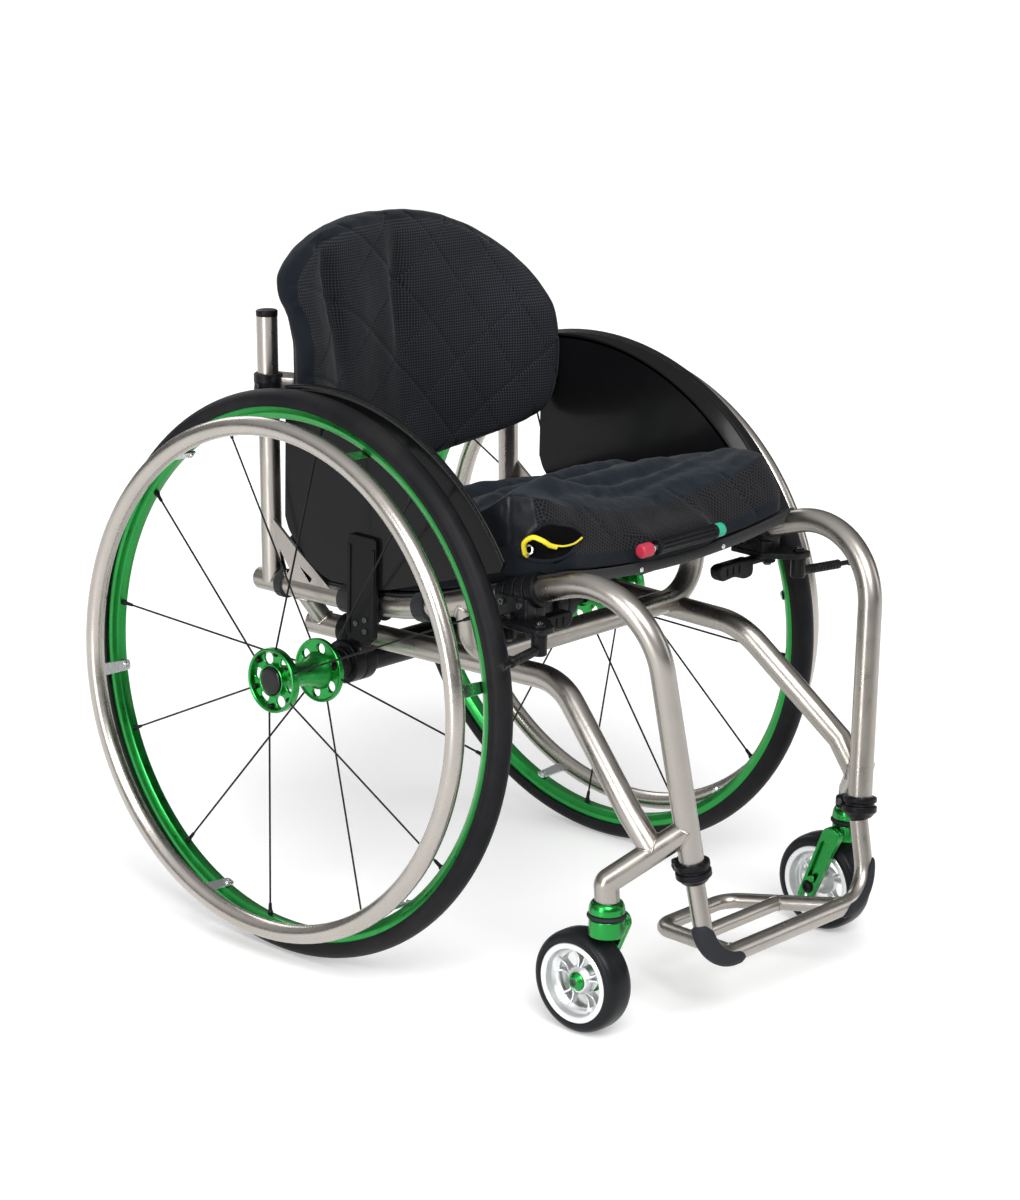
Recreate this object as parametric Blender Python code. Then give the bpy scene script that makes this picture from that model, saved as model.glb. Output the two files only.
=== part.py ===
"""Rigid wheelchair: bent titanium frame, cambered quick-release wheels and a contoured back.

Units are metres and +Z is up. The chair faces -Y, so its left side is +X. Everything is shaped
around the point on the floor below the middle of the rear axle, and the last step centres the
chair in Y. The left side is modelled and the right side is its mirror image.
"""
import math

import bmesh
import bpy
from mathutils import Matrix, Vector

# Fits
TOUCH = 0.0003
RUNNING = 0.0003

# Facets round the turned and swept pieces
TUBE_SIDES = 12
BEAM_SIDES = 16
WHEEL_STEPS = 36
HUB_STEPS = 16
CASTER_STEPS = 20

# Frame tubes
SEAT_WIDTH = 0.388
RAIL_RADIUS = 0.0125
CANE_RADIUS = 0.011
BRACE_RADIUS = 0.010
FOOTREST_RADIUS = 0.0095
LOOP_RADIUS = 0.008
RAIL_X = SEAT_WIDTH / 2 - RAIL_RADIUS

# Rear wheels
WHEEL_RADIUS = 0.295
TYRE_RADIUS = 0.0125
CAMBER = math.radians(2.7)
WHEEL_STANDOFF = 0.060
BEAD_DEPTH = 0.0165
RIM_DEPTH = 0.014
RIM_WIDTH = 0.019
HANDRIM_DROP = 0.0172
HANDRIM_TUBE = 0.00975
HANDRIM_STANDOFF = 0.0414
TAB_COUNT = 6
TAB_WIDTH = 0.014
TAB_THICKNESS = 0.0025
SPOKE_PAIRS = 6
SPOKE_RADIUS = 0.0011
NIPPLE_RADIUS = 0.0026
NIPPLE_LENGTH = 0.011
FIRST_SPOKE = math.radians(25.0)
FIRST_TAB = math.radians(10.0)
FLANGE_RADIUS = 0.0335
FLANGE_OUT = 0.0360
FLANGE_IN = 0.0370
HUB_WAIST = 0.0125
AXLE_RADIUS = 0.0064
BUTTON_RADIUS = 0.0142
BUTTON_STEM = 0.0030
BUTTON_TRAVEL = 0.003
WHEEL_X = RAIL_X + WHEEL_STANDOFF
RIM_RADIUS = WHEEL_RADIUS - BEAD_DEPTH
HANDRIM_RADIUS = RIM_RADIUS - HANDRIM_DROP
AXLE_Z = (WHEEL_RADIUS - TYRE_RADIUS) * math.cos(CAMBER) + TYRE_RADIUS

# Camber tube below the lower tubes
CAMBER_TUBE_RADIUS = 0.017
CLAMP_WALL = 0.004
CLAMP_WEB = 0.0018
AXLE_REACH = 0.080
CLAMP_Y = -0.008
CLAMP_LENGTH = 0.036
CLAMP_WIDTH = 0.032

# Seat rails
RAIL_REAR_Y = 0.1125
RAIL_REAR_RISE = 0.0708
RAIL_KNEE_Y = -0.0962
RAIL_KNEE_RISE = 0.0764
RAIL_KNEE_BEND = 0.467
FRONT_Y = -0.4116
FRONT_Z = AXLE_Z + 0.1800136
FRONT_BEND = 0.0822
FRONT_TAPER = 0.1514
FRONT_RAKE = 0.1076
FRONT_END_Z = 0.163

# Casters
CASTER_RADIUS = 0.0527
CASTER_HALF_WIDTH = 0.0172
CASTER_HUB_RADIUS = 0.0413
CASTER_TRAIL = 0.028
CASTER_BOLT = 0.003
STEM_OUTSET = 0.016
STEM_Y = FRONT_Y + 0.0236
STEM_RADIUS = 0.006
CROWN_CLEARANCE = 0.0016
CROWN_HEIGHT = 0.0183
CROWN_RADIUS = 0.018
SEAL_RADIUS = 0.0022
SEAL_RING = 0.0176
HOUSING_HEIGHT = 0.0124
BARREL_HEIGHT = 0.0180
ARM_RISE = 0.054
ARM_RADIUS = 0.0125
ARM_NOSE = 0.005
FORK_THICKNESS = 0.009
FORK_CLEARANCE = 0.0038

# Lower tubes
LOWER_REAR_Y = 0.055
LOWER_REAR_INSET = 0.0190
LOWER_BEND_Y = -0.274
LOWER_BEND_INSET = 0.0381
LOWER_BEND_RISE = 0.0033
LOWER_BEND = 0.0685
LOWER_KNEE_Y = -0.3906
LOWER_KNEE_INSET = 0.0123
LOWER_KNEE_RISE = 0.064
LOWER_ON_ARM = 0.42
BRACE_TOP_Y = 0.054
BRACE_FOOT_Y = 0.034

# Seat cross tube
CROSS_Y = -0.18
CROSS_INSET = 0.0135
CROSS_SADDLE = 0.0085
CROSS_BEND = 0.045

# Back canes and their gusset plates
CANE_OUTSET = 0.003
CANE_FOOT_Y = 0.0925
CANE_HEIGHT = 0.284
CANE_LEAN = 0.010
GUSSET_THICKNESS = 0.004
GUSSET_OUTSET = 0.0097
GUSSET_Y = 0.04

# Footrest
BAR_Z = 0.0797
BAR_FORWARD = 0.0183
LEG_INSET = 0.0043
LEG_BEND = 0.040
LOOP_FRONT_X = RAIL_X - 0.0895
LOOP_REAR_X = LOOP_FRONT_X - 0.038
LOOP_REAR_Y = -0.338
LOOP_REAR_Z = 0.062
LOOP_BEND = 0.025
CROSSBAR_SHARE = 0.55
GUARD_STRIP = 0.0024

# Side guards
PANEL_THICKNESS = 0.0025
PANEL_OUTSET = 0.0025
PANEL_ARC = WHEEL_RADIUS - 0.003
LIP_ARC = PANEL_ARC + 0.011
LIP_FLARE = 0.011
DRAWN_ARC = 0.292
GUARD_CORNER_Y = -0.248
GUARD_CORNER_RISE = 0.1603
GUARD_LIFT = 0.060
RECEIVER_Y = -0.056
RECEIVER_WIDTH = 0.040

# Wheel locks
SHOE_PIVOT_Y = -WHEEL_RADIUS - 0.004
LEVER_PIVOT_Y = SHOE_PIVOT_Y + 0.041
LOCK_Y = LEVER_PIVOT_Y + 0.0005
LOCK_LENGTH = 0.050
LOCK_PIVOT_OUTSET = 0.0245
LEVER_RADIUS = 0.0055
SHOE_RADIUS = 0.005
SHOE_REACH = 0.075
SHOE_REST = math.radians(13.0)
GRIP_REACH = 0.0915

# Seat sling, cushion and its valve
SLING_THICKNESS = 0.002
SLING_SAG = 0.015
STRAP_THICKNESS = 0.0018
STRAP_WIDTH = 0.016
CUSHION_FRONT_Y = -0.310
CUSHION_REAR_Y = 0.092
CUSHION_OVERHANG = 0.005
CUSHION_CROWN = 0.012
VALVE_X = -0.008
VALVE_LENGTH = 0.092
VALVE_RADIUS = 0.0080
VALVE_Z = AXLE_Z + 0.16331361
VALVE_TRAVEL = 0.008
VALVE_SEAT = 0.0010
CORD_RADIUS = 0.0025

# Back shell and pad
PAD_HALF_WIDTH = SEAT_WIDTH / 2 - 0.004
PAD_BOTTOM_Z = AXLE_Z + 0.1633136
PAD_HEIGHT = 0.275
PAD_TOP_Z = PAD_BOTTOM_Z + PAD_HEIGHT
PAD_CURVE = 0.060
PAD_REAR_Y = 0.118
PAD_THICKNESS = 0.036
SHELL_THICKNESS = 0.004
SHELL_SHARE = 0.93
MOUNT_Z = PAD_BOTTOM_Z + 0.117

FLIP = Matrix.Diagonal((-1.0, 1.0, 1.0, 1.0))


def clear_scene():
    for obj in list(bpy.data.objects):
        bpy.data.objects.remove(obj, do_unlink=True)


# Materials

def material(name, colour, roughness, metallic):
    made = bpy.data.materials.new(name)
    made.use_nodes = True
    shader = made.node_tree.nodes["Principled BSDF"]
    shader.inputs["Base Color"].default_value = (*colour, 1.0)
    shader.inputs["Roughness"].default_value = roughness
    shader.inputs["Metallic"].default_value = metallic
    return made


# Shape helpers

def fillet_path(corners, radii, step=math.radians(16.0)):
    """Straight runs between the corners, with each inner corner rounded to its radius."""
    corners = [Vector(corner) for corner in corners]
    path = [corners[0]]
    for before, corner, after, radius in zip(corners, corners[1:], corners[2:], radii):
        into = (corner - before).normalized()
        out = (after - corner).normalized()
        angle = into.angle(out)
        side = (out - into * into.dot(out)).normalized()
        start = corner - into * radius * math.tan(angle / 2)
        steps = max(1, math.ceil(angle / step))
        if radius == 0:
            path.append(corner)
            continue
        for i in range(steps + 1):
            turn = angle * i / steps
            path.append(start + side * radius * (1 - math.cos(turn)) + into * radius * math.sin(turn))
    path.append(corners[-1])
    return path


def at_y(path, y):
    """The point of a path at a given Y, and the path's direction there."""
    for a, b in zip(path, path[1:]):
        if min(a.y, b.y) <= y <= max(a.y, b.y):
            share = (y - a.y) / (b.y - a.y)
            return a.lerp(b, share), (b - a).normalized()
    raise ValueError("the path does not pass this Y")


def circle(radius, sides, start=0.0):
    turns = [start + math.tau * i / sides for i in range(sides)]
    return [(radius * math.cos(turn), radius * math.sin(turn)) for turn in turns]


def new_object(name, bm):
    bmesh.ops.recalc_face_normals(bm, faces=bm.faces)
    mesh = bpy.data.meshes.new(name)
    bm.to_mesh(mesh)
    bm.free()
    obj = bpy.data.objects.new(name, mesh)
    bpy.context.scene.collection.objects.link(obj)
    return obj


def loft(name, rings, closed=False):
    """A solid from rings of points, capped at both ends unless the rings close on themselves."""
    bm = bmesh.new()
    loops = [[bm.verts.new(point) for point in ring] for ring in rings]
    pairs = list(zip(loops, loops[1:]))
    if closed:
        pairs.append((loops[-1], loops[0]))
    for low, high in pairs:
        for i in range(max(len(low), len(high))):
            after = i + 1
            corners = [low[i % len(low)], low[after % len(low)], high[after % len(high)], high[i % len(high)]]
            bm.faces.new(list(dict.fromkeys(corners)))
    if not closed:
        for loop in (loops[0], loops[-1]):
            if len(loop) > 2:
                bm.faces.new(loop)
    return new_object(name, bm)


def sweep(name, path, profile, up=Vector((0.0, 0.0, 1.0)), scales=None):
    """The profile carried along the path, mitred at each corner. Profile points are (across, above)."""
    along = (path[1] - path[0]).normalized()
    if abs(along.dot(up)) > 0.99:
        up = Vector((0.0, 1.0, 0.0))
    above = (up - along * up.dot(along)).normalized()
    across = along.cross(above)
    scales = scales or [1.0] * len(path)
    rings = []
    for i, point in enumerate(path):
        onward = (path[min(i + 1, len(path) - 1)] - path[min(i, len(path) - 2)]).normalized()
        plane = (along + onward).normalized()
        ring = []
        for a, b in profile:
            offset = (across * a + above * b) * scales[i]
            ring.append(point + offset - along * (offset.dot(plane) / along.dot(plane)))
        rings.append(ring)
        turn = along.rotation_difference(onward)
        across.rotate(turn)
        above.rotate(turn)
        along = onward
    return loft(name, rings)


def tube(name, path, radius, sides=TUBE_SIDES, scales=None):
    return sweep(name, [Vector(point) for point in path], circle(radius, sides), scales=scales)


def turned(name, profile, steps, place=Matrix()):
    """A profile of (along X, radius) points turned about X. It is a ring unless it ends on the axis."""
    rings = []
    for x, radius in profile:
        turns = circle(radius, steps, -math.pi / 2) if radius > 0 else [(0.0, 0.0)]
        rings.append([place @ Vector((x, y, z)) for y, z in turns])
    return loft(name, rings, closed=profile[0][1] > 0)


def prism(name, outline, low, high, axis="X"):
    """An outline of points in the plane across an axis, drawn out between two heights on it."""
    order = {"X": (2, 0, 1), "Y": (0, 2, 1), "Z": (0, 1, 2)}[axis]
    rings = []
    for height in (low, high):
        points = [(a, b, height) for a, b in outline]
        rings.append([Vector([point[i] for i in order]) for point in points])
    return loft(name, rings)


def block(name, low, high):
    outline = [(low[0], low[1]), (high[0], low[1]), (high[0], high[1]), (low[0], high[1])]
    return prism(name, outline, low[2], high[2], "Z")


def capsule(start, end, start_radius, end_radius, steps=5):
    """The outline round two circles in one plane."""
    start, end = Vector(start), Vector(end)
    heading = math.atan2(end.y - start.y, end.x - start.x)
    outline = []
    for centre, radius, first in ((end, end_radius, -math.pi / 2), (start, start_radius, math.pi / 2)):
        for i in range(steps + 1):
            turn = heading + first + math.pi * i / steps
            outline.append((centre.x + radius * math.cos(turn), centre.y + radius * math.sin(turn)))
    return outline


# Joining and cutting

def combine(target, tools, operation):
    for tool in tools:
        step = target.modifiers.new("combine", "BOOLEAN")
        step.operation = operation
        step.solver = "EXACT"
        step.object = tool
    graph = bpy.context.evaluated_depsgraph_get()
    mesh = bpy.data.meshes.new_from_object(target.evaluated_get(graph))
    target.modifiers.clear()
    target.data = mesh
    for tool in tools:
        bpy.data.objects.remove(tool, do_unlink=True)
    return target


def join(target, *tools):
    return combine(target, tools, "UNION")


def cut(target, *tools):
    return combine(target, tools, "DIFFERENCE")


def drop_offcuts(obj):
    """Keeps the largest body that a cut leaves."""
    bm = bmesh.new()
    bm.from_mesh(obj.data)
    bmesh.ops.remove_doubles(bm, verts=bm.verts, dist=1e-6)
    left = set(bm.verts)
    bodies = []
    while left:
        body = {left.pop()}
        edge_of_body = list(body)
        while edge_of_body:
            vertex = edge_of_body.pop()
            for edge in vertex.link_edges:
                other = edge.other_vert(vertex)
                if other not in body:
                    body.add(other)
                    edge_of_body.append(other)
        left -= body
        bodies.append(body)
    spans = [max(v.co.length for v in body) + len(body) for body in bodies]
    main = bodies[spans.index(max(spans))]
    bmesh.ops.delete(bm, geom=[v for v in bm.verts if v not in main], context="VERTS")
    bm.to_mesh(obj.data)
    bm.free()
    return obj


def grown(path, radius, gap=TOUCH, sides=TUBE_SIDES, reach=0.0):
    """A cutter round a neighbour's tube, with the gap that touching pieces keep."""
    path = [Vector(point) for point in path]
    path[0] = path[0] + (path[0] - path[1]).normalized() * reach
    path[-1] = path[-1] + (path[-1] - path[-2]).normalized() * reach
    return tube("cutter", path, radius + gap / math.cos(math.pi / sides), sides)


def dressed(obj, name, finish, smooth=math.radians(35.0)):
    obj.name = name
    obj.data.name = name
    obj.data.materials.clear()
    obj.data.materials.append(finish)
    obj.data.shade_smooth()
    obj.data.set_sharp_from_angle(angle=smooth)
    return obj


# Frame centre lines, shared by everything that is fixed to the tubes

def front_at(z):
    """The main tube's centre line below its front bend."""
    drop = FRONT_Z - z
    return Vector((RAIL_X - FRONT_TAPER * drop, FRONT_Y - FRONT_RAKE * drop, z))


def rail_path():
    rear = (RAIL_X, RAIL_REAR_Y, AXLE_Z + RAIL_REAR_RISE)
    knee = (RAIL_X, RAIL_KNEE_Y, AXLE_Z + RAIL_KNEE_RISE)
    corner = (RAIL_X, FRONT_Y, FRONT_Z)
    return fillet_path([rear, knee, corner, front_at(FRONT_END_Z)], [RAIL_KNEE_BEND, FRONT_BEND])


CROWN_BOTTOM = 2 * CASTER_RADIUS + CROWN_CLEARANCE
CROWN_TOP = CROWN_BOTTOM + CROWN_HEIGHT
SEAL_Z = CROWN_TOP + TOUCH + SEAL_RADIUS
HOUSING_BOTTOM = SEAL_Z + SEAL_RADIUS + TOUCH
HOUSING_TOP = HOUSING_BOTTOM + HOUSING_HEIGHT
BARREL_BOTTOM = HOUSING_TOP + TOUCH
STEM = Vector((RAIL_X + STEM_OUTSET, STEM_Y, 0.0))


def arm_path():
    mitre = Vector((STEM.x, STEM.y, BARREL_BOTTOM + BARREL_HEIGHT))
    root = front_at(mitre.z + ARM_RISE)
    return [root, mitre, Vector((STEM.x, STEM.y, BARREL_BOTTOM))]


def lower_path():
    root, mitre = arm_path()[:2]
    height = AXLE_Z + CAMBER_TUBE_RADIUS + RAIL_RADIUS + CLAMP_WEB
    rear = (RAIL_X - LOWER_REAR_INSET, LOWER_REAR_Y, height)
    bend = (RAIL_X - LOWER_BEND_INSET, LOWER_BEND_Y, height + LOWER_BEND_RISE)
    knee = (RAIL_X - LOWER_KNEE_INSET, LOWER_KNEE_Y, mitre.z + LOWER_KNEE_RISE)
    return fillet_path([rear, bend, knee, root.lerp(mitre, LOWER_ON_ARM)], [LOWER_BEND, 0.0])


def cross_path():
    top = at_y(rail_path(), CROSS_Y)[0]
    floor = at_y(lower_path(), CROSS_Y)[0].z + CROSS_SADDLE
    corner = Vector((RAIL_X - CROSS_INSET, CROSS_Y, floor))
    left = [top, corner]
    right = [FLIP @ point for point in reversed(left)]
    return fillet_path(left + right, [CROSS_BEND, CROSS_BEND])


def cane_path():
    foot = at_y(rail_path(), CANE_FOOT_Y)[0]
    x = RAIL_X + CANE_OUTSET
    return [Vector((x, foot.y, foot.z)), Vector((x, foot.y + CANE_LEAN, foot.z + CANE_HEIGHT))]


def leg_path():
    """Half of the footrest's front tube, from the left clamp to the middle of the bar."""
    end = front_at(FRONT_END_Z)
    along = (front_at(FRONT_END_Z) - front_at(FRONT_END_Z + 0.1)).normalized()
    top = end + along * (RAIL_RADIUS * FRONT_TAPER + 0.002)
    corner = Vector((end.x - LEG_INSET, end.y - BAR_FORWARD, BAR_Z))
    middle = Vector((0.0, corner.y, BAR_Z))
    return fillet_path([top, corner, middle], [LEG_BEND])


def wheel_place():
    return Matrix.Translation((WHEEL_X, 0.0, AXLE_Z)) @ Matrix.Rotation(-CAMBER, 4, "Y")


def wheel_point(x, radius, turn):
    """A point in the left wheel, with turn 0 at the front of the wheel and a quarter turn at its top."""
    return wheel_place() @ Vector((x, -radius * math.cos(turn), radius * math.sin(turn)))


def caster_place():
    return Matrix.Translation((STEM.x, STEM.y + CASTER_TRAIL, CASTER_RADIUS))


# Frame pieces

def main_tube(finish):
    root, mitre = arm_path()[:2]
    rail = tube("main", rail_path(), RAIL_RADIUS)
    inward = (root - mitre).normalized()
    main_axis = (front_at(0.2) - front_at(0.3)).normalized()
    reach = (RAIL_RADIUS + ARM_NOSE) / math.sin(inward.angle(main_axis))
    nose = [root, root + inward * (reach - 0.004), root + inward * (reach - 0.001), root + inward * reach]
    join(rail, tube("nose", nose, ARM_RADIUS, scales=[1.0, 1.0, 0.8, 0.45]))
    return dressed(rail, "left_main_tube", finish)


def lower_tube(finish):
    lower = tube("lower", lower_path(), RAIL_RADIUS)
    foot = at_y(lower_path(), BRACE_FOOT_Y)[0]
    top = at_y(rail_path(), BRACE_TOP_Y)[0]
    join(lower, tube("brace", [foot, top], BRACE_RADIUS))
    cut(lower, grown(rail_path(), RAIL_RADIUS), grown(arm_path(), ARM_RADIUS))
    return dressed(drop_offcuts(lower), "left_lower_tube", finish)


def caster_arm(finish):
    arm = tube("arm", arm_path(), ARM_RADIUS)
    cut(arm, grown(rail_path(), RAIL_RADIUS))
    return dressed(drop_offcuts(arm), "left_caster_arm", finish)


def seat_cross_tube(finish):
    cross = tube("cross", cross_path(), RAIL_RADIUS)
    cutters = []
    for path, radius in ((rail_path(), RAIL_RADIUS), (lower_path(), RAIL_RADIUS)):
        cutters.append(grown(path, radius))
        cutters.append(grown([FLIP @ point for point in path], radius))
    cut(cross, *cutters)
    return dressed(drop_offcuts(cross), "seat_cross_tube", finish)


def camber_tube(finish):
    end = WHEEL_X - FLANGE_IN - 0.002
    shoulder = end - 0.0225
    collar = AXLE_RADIUS + 0.005
    half = [(shoulder, CAMBER_TUBE_RADIUS), (shoulder, collar), (end - 0.003, collar), (end, collar - 0.002)]
    profile = [(-end, 0.0)]
    profile += [(-x, radius) for x, radius in reversed(half)]
    profile += half + [(end, 0.0)]
    place = Matrix.Translation((0.0, 0.0, AXLE_Z))
    beam = turned("camber", profile, BEAM_SIDES, place)
    bore = [wheel_point(-AXLE_REACH - 0.001, 0.0, 0.0), wheel_point(0.0, 0.0, 0.0)]
    for path in (bore, [FLIP @ point for point in bore]):
        cut(beam, tube("bore", path, AXLE_RADIUS + TOUCH, HUB_STEPS))
    return dressed(beam, "camber_tube", finish)


def axle_clamp(finish):
    path = lower_path()
    front = at_y(path, CLAMP_Y - CLAMP_LENGTH / 2)[0]
    rear = at_y(path, CLAMP_Y + CLAMP_LENGTH / 2)[0]
    middle = front.lerp(rear, 0.5)
    half = Vector((CLAMP_WIDTH / 2, 0.0, 0.0))
    axle = Vector((middle.x, 0.0, AXLE_Z))
    clamp = tube("clamp", [axle - half, axle + half], CAMBER_TUBE_RADIUS + CLAMP_WALL + 0.002, BEAM_SIDES)
    join(clamp, tube("saddle", [rear, front], RAIL_RADIUS + CLAMP_WALL))
    low = (middle.x - 0.012, CLAMP_Y - 0.012, AXLE_Z)
    high = (middle.x + 0.012, CLAMP_Y + 0.012, middle.z)
    join(clamp, block("web", low, high))
    cross = [axle - half * 2, axle + half * 2]
    cut(clamp, grown(cross, CAMBER_TUBE_RADIUS, sides=BEAM_SIDES), grown(path, RAIL_RADIUS))
    return dressed(drop_offcuts(clamp), "left_axle_clamp", finish)


def back_cane(finish):
    path = cane_path()
    cane = tube("cane", path, CANE_RADIUS)
    rail_z = at_y(rail_path(), GUSSET_Y)[0].z
    outer = RAIL_X + GUSSET_OUTSET
    plate = [(0.099, 0.063), (0.090, 0.071), (0.0537, 0.044), (0.026, 0.026), (-0.0016, 0.0065),
             (-0.0016, -0.002), (0.061, -0.002), (0.084, 0.040)]
    slots = [[(0.0765, 0.038), (0.0605, 0.018), (0.0680, 0.0085)],
             [(0.0480, 0.0255), (0.0275, 0.0143), (0.0315, 0.0095)]]
    plate = [(y, rail_z + rise) for y, rise in plate]
    join(cane, prism("gusset", plate, outer - GUSSET_THICKNESS, outer))
    for slot in slots:
        corners = [(y, rail_z + rise) for y, rise in slot]
        cut(cane, prism("slot", corners, outer - 3 * GUSSET_THICKNESS, outer + GUSSET_THICKNESS))
    cut(cane, grown(rail_path(), RAIL_RADIUS, reach=0.01))
    return dressed(drop_offcuts(cane), "left_back_cane", finish)


# Wheel pieces

def tyre(finish):
    centre = WHEEL_RADIUS - TYRE_RADIUS
    seat = math.asin((RIM_RADIUS + TOUCH - centre) / TYRE_RADIUS)
    points = 8
    profile = []
    for i in range(points + 1):
        turn = seat + (math.pi - 2 * seat) * i / points
        profile.append((TYRE_RADIUS * math.cos(turn), centre + TYRE_RADIUS * math.sin(turn)))
    return dressed(turned("tyre", profile, WHEEL_STEPS, wheel_place()), "left_tyre", finish)


def rim(finish):
    half = RIM_WIDTH / 2
    bead = RIM_RADIUS - RIM_DEPTH * 0.55
    inner = RIM_RADIUS - RIM_DEPTH
    flat = half * 0.63
    profile = [(half, RIM_RADIUS), (half, bead), (flat, inner), (-flat, inner), (-half, bead),
               (-half, RIM_RADIUS)]
    return dressed(turned("rim", profile, WHEEL_STEPS, wheel_place()), "left_rim", finish)


def rim_inside():
    """The nearest that the rim's facets come to the axle."""
    return (RIM_RADIUS - RIM_DEPTH) * math.cos(math.pi / WHEEL_STEPS)


def handrim(finish):
    profile = [(HANDRIM_STANDOFF + a, HANDRIM_RADIUS + b) for a, b in circle(HANDRIM_TUBE, 8)]
    ring = turned("handrim", profile, WHEEL_STEPS, wheel_place())
    outer = rim_inside() - TOUCH
    tabs = []
    for i in range(TAB_COUNT):
        turn = FIRST_TAB + math.tau * i / TAB_COUNT
        slant = wheel_place() @ Matrix.Rotation(math.pi - turn, 4, "X")
        corners = []
        for x in (-RIM_WIDTH * 0.2, HANDRIM_STANDOFF):
            for y, z in ((outer - TAB_THICKNESS, -1), (outer, -1), (outer, 1), (outer - TAB_THICKNESS, 1)):
                corners.append(slant @ Vector((x, y, z * TAB_WIDTH / 2)))
        tabs.append(loft("tab", [corners[:4], corners[4:]]))
    return dressed(join(ring, *tabs), "left_handrim", finish)


def spoke(turn, from_x, from_radius, rim_end):
    """A spoke and its nipple, from inside a hub flange to the rim."""
    start = wheel_point(from_x, from_radius, turn)
    end = wheel_point(0.0, rim_end, turn)
    along = (end - start).normalized()
    neck = end - along * NIPPLE_LENGTH
    swell = NIPPLE_RADIUS / SPOKE_RADIUS
    path = [start, neck, neck + along * 0.0012, end]
    return tube("spoke", path, SPOKE_RADIUS, 5, scales=[1.0, 1.0, swell, swell])


def spoked_hub(finish):
    bore = AXLE_RADIUS + RUNNING
    recess = FLANGE_OUT - 0.007
    ring = BUTTON_RADIUS + 0.0006
    profile = [
        (recess, bore), (recess, ring), (FLANGE_OUT - 0.0015, ring), (FLANGE_OUT - 0.0015, ring + 0.0024),
        (FLANGE_OUT - 0.0050, ring + 0.0034), (FLANGE_OUT - 0.0050, FLANGE_RADIUS - 0.0045),
        (FLANGE_OUT, FLANGE_RADIUS - 0.0022), (FLANGE_OUT, FLANGE_RADIUS),
        (FLANGE_OUT - 0.0060, FLANGE_RADIUS), (FLANGE_OUT - 0.0170, HUB_WAIST + 0.0040),
        (0.0100, HUB_WAIST), (-0.0100, HUB_WAIST), (0.0170 - FLANGE_IN, HUB_WAIST + 0.0040),
        (0.0055 - FLANGE_IN, FLANGE_RADIUS), (-FLANGE_IN, FLANGE_RADIUS), (-FLANGE_IN, bore)]
    hub = turned("hub", profile, HUB_STEPS, wheel_place())
    window_radius = 0.0042
    window_circle = 0.0220
    windows = []
    for i in range(SPOKE_PAIRS):
        outer_turn = FIRST_SPOKE + math.tau * (i + 0.5) / SPOKE_PAIRS
        inner_turn = FIRST_SPOKE + math.tau * i / SPOKE_PAIRS
        for turn, start, end in ((outer_turn, 0.005, FLANGE_OUT + 0.005),
                                 (inner_turn, -FLANGE_IN - 0.005, -0.005)):
            path = [wheel_point(start, window_circle, turn), wheel_point(end, window_circle, turn)]
            windows.append(tube("window", path, window_radius, 5))
    cut(hub, *windows)
    seat = FLANGE_RADIUS - 0.0030
    end = rim_inside() - TOUCH - NIPPLE_RADIUS * 0.2
    spokes = []
    for i in range(SPOKE_PAIRS):
        turn = FIRST_SPOKE + math.tau * i / SPOKE_PAIRS
        spokes.append(spoke(turn, FLANGE_OUT - 0.0030, seat, end))
        spokes.append(spoke(turn + math.pi / SPOKE_PAIRS, 0.0028 - FLANGE_IN, seat, end))
    return dressed(join(hub, *spokes), "left_spoked_hub", finish)


def axle_pin(finish):
    head = FLANGE_OUT - 0.0075
    stem = BUTTON_STEM + RUNNING
    profile = [(-AXLE_REACH, 0.0), (-AXLE_REACH, AXLE_RADIUS), (head, AXLE_RADIUS), (head, stem),
               (head - 0.012, stem), (head - 0.012, 0.0)]
    return dressed(turned("pin", profile, HUB_STEPS, wheel_place()), "left_axle_pin", finish)


def axle_button(finish):
    back = FLANGE_OUT - 0.007 + BUTTON_TRAVEL + 0.001
    stem = FLANGE_OUT - 0.0075 - 0.012 + BUTTON_TRAVEL + 0.001
    front = back + 0.0045
    profile = [(stem, 0.0), (stem, BUTTON_STEM), (back, BUTTON_STEM), (back, BUTTON_RADIUS),
               (front - 0.001, BUTTON_RADIUS), (front, BUTTON_RADIUS - 0.001), (front, 0.0)]
    return dressed(turned("button", profile, HUB_STEPS, wheel_place()), "left_axle_button", finish)


# Caster pieces

def upright(profile, steps):
    """A profile of (height, radius) points turned about the caster's stem."""
    stand = Matrix.Translation((STEM.x, STEM.y, 0.0)) @ Matrix.Rotation(-math.pi / 2, 4, "Y")
    return turned("upright", profile, steps, stand)


def caster_housing(finish):
    bore = STEM_RADIUS + RUNNING
    top = HOUSING_TOP
    foot = HOUSING_BOTTOM
    profile = [(top, 0.0), (top, ARM_RADIUS + 0.001), (top - 0.0025, CROWN_RADIUS - 0.0022),
               (foot + 0.0045, CROWN_RADIUS), (foot, CROWN_RADIUS + 0.0002), (foot, bore),
               (top - 0.003, bore), (top - 0.003, 0.0)]
    return dressed(upright(profile, 14), "left_caster_housing", finish)


def caster_seal(finish):
    profile = [(SEAL_Z + a, SEAL_RING + b) for a, b in circle(SEAL_RADIUS, 6)]
    return dressed(upright(profile, 14), "left_caster_seal", finish)


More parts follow.
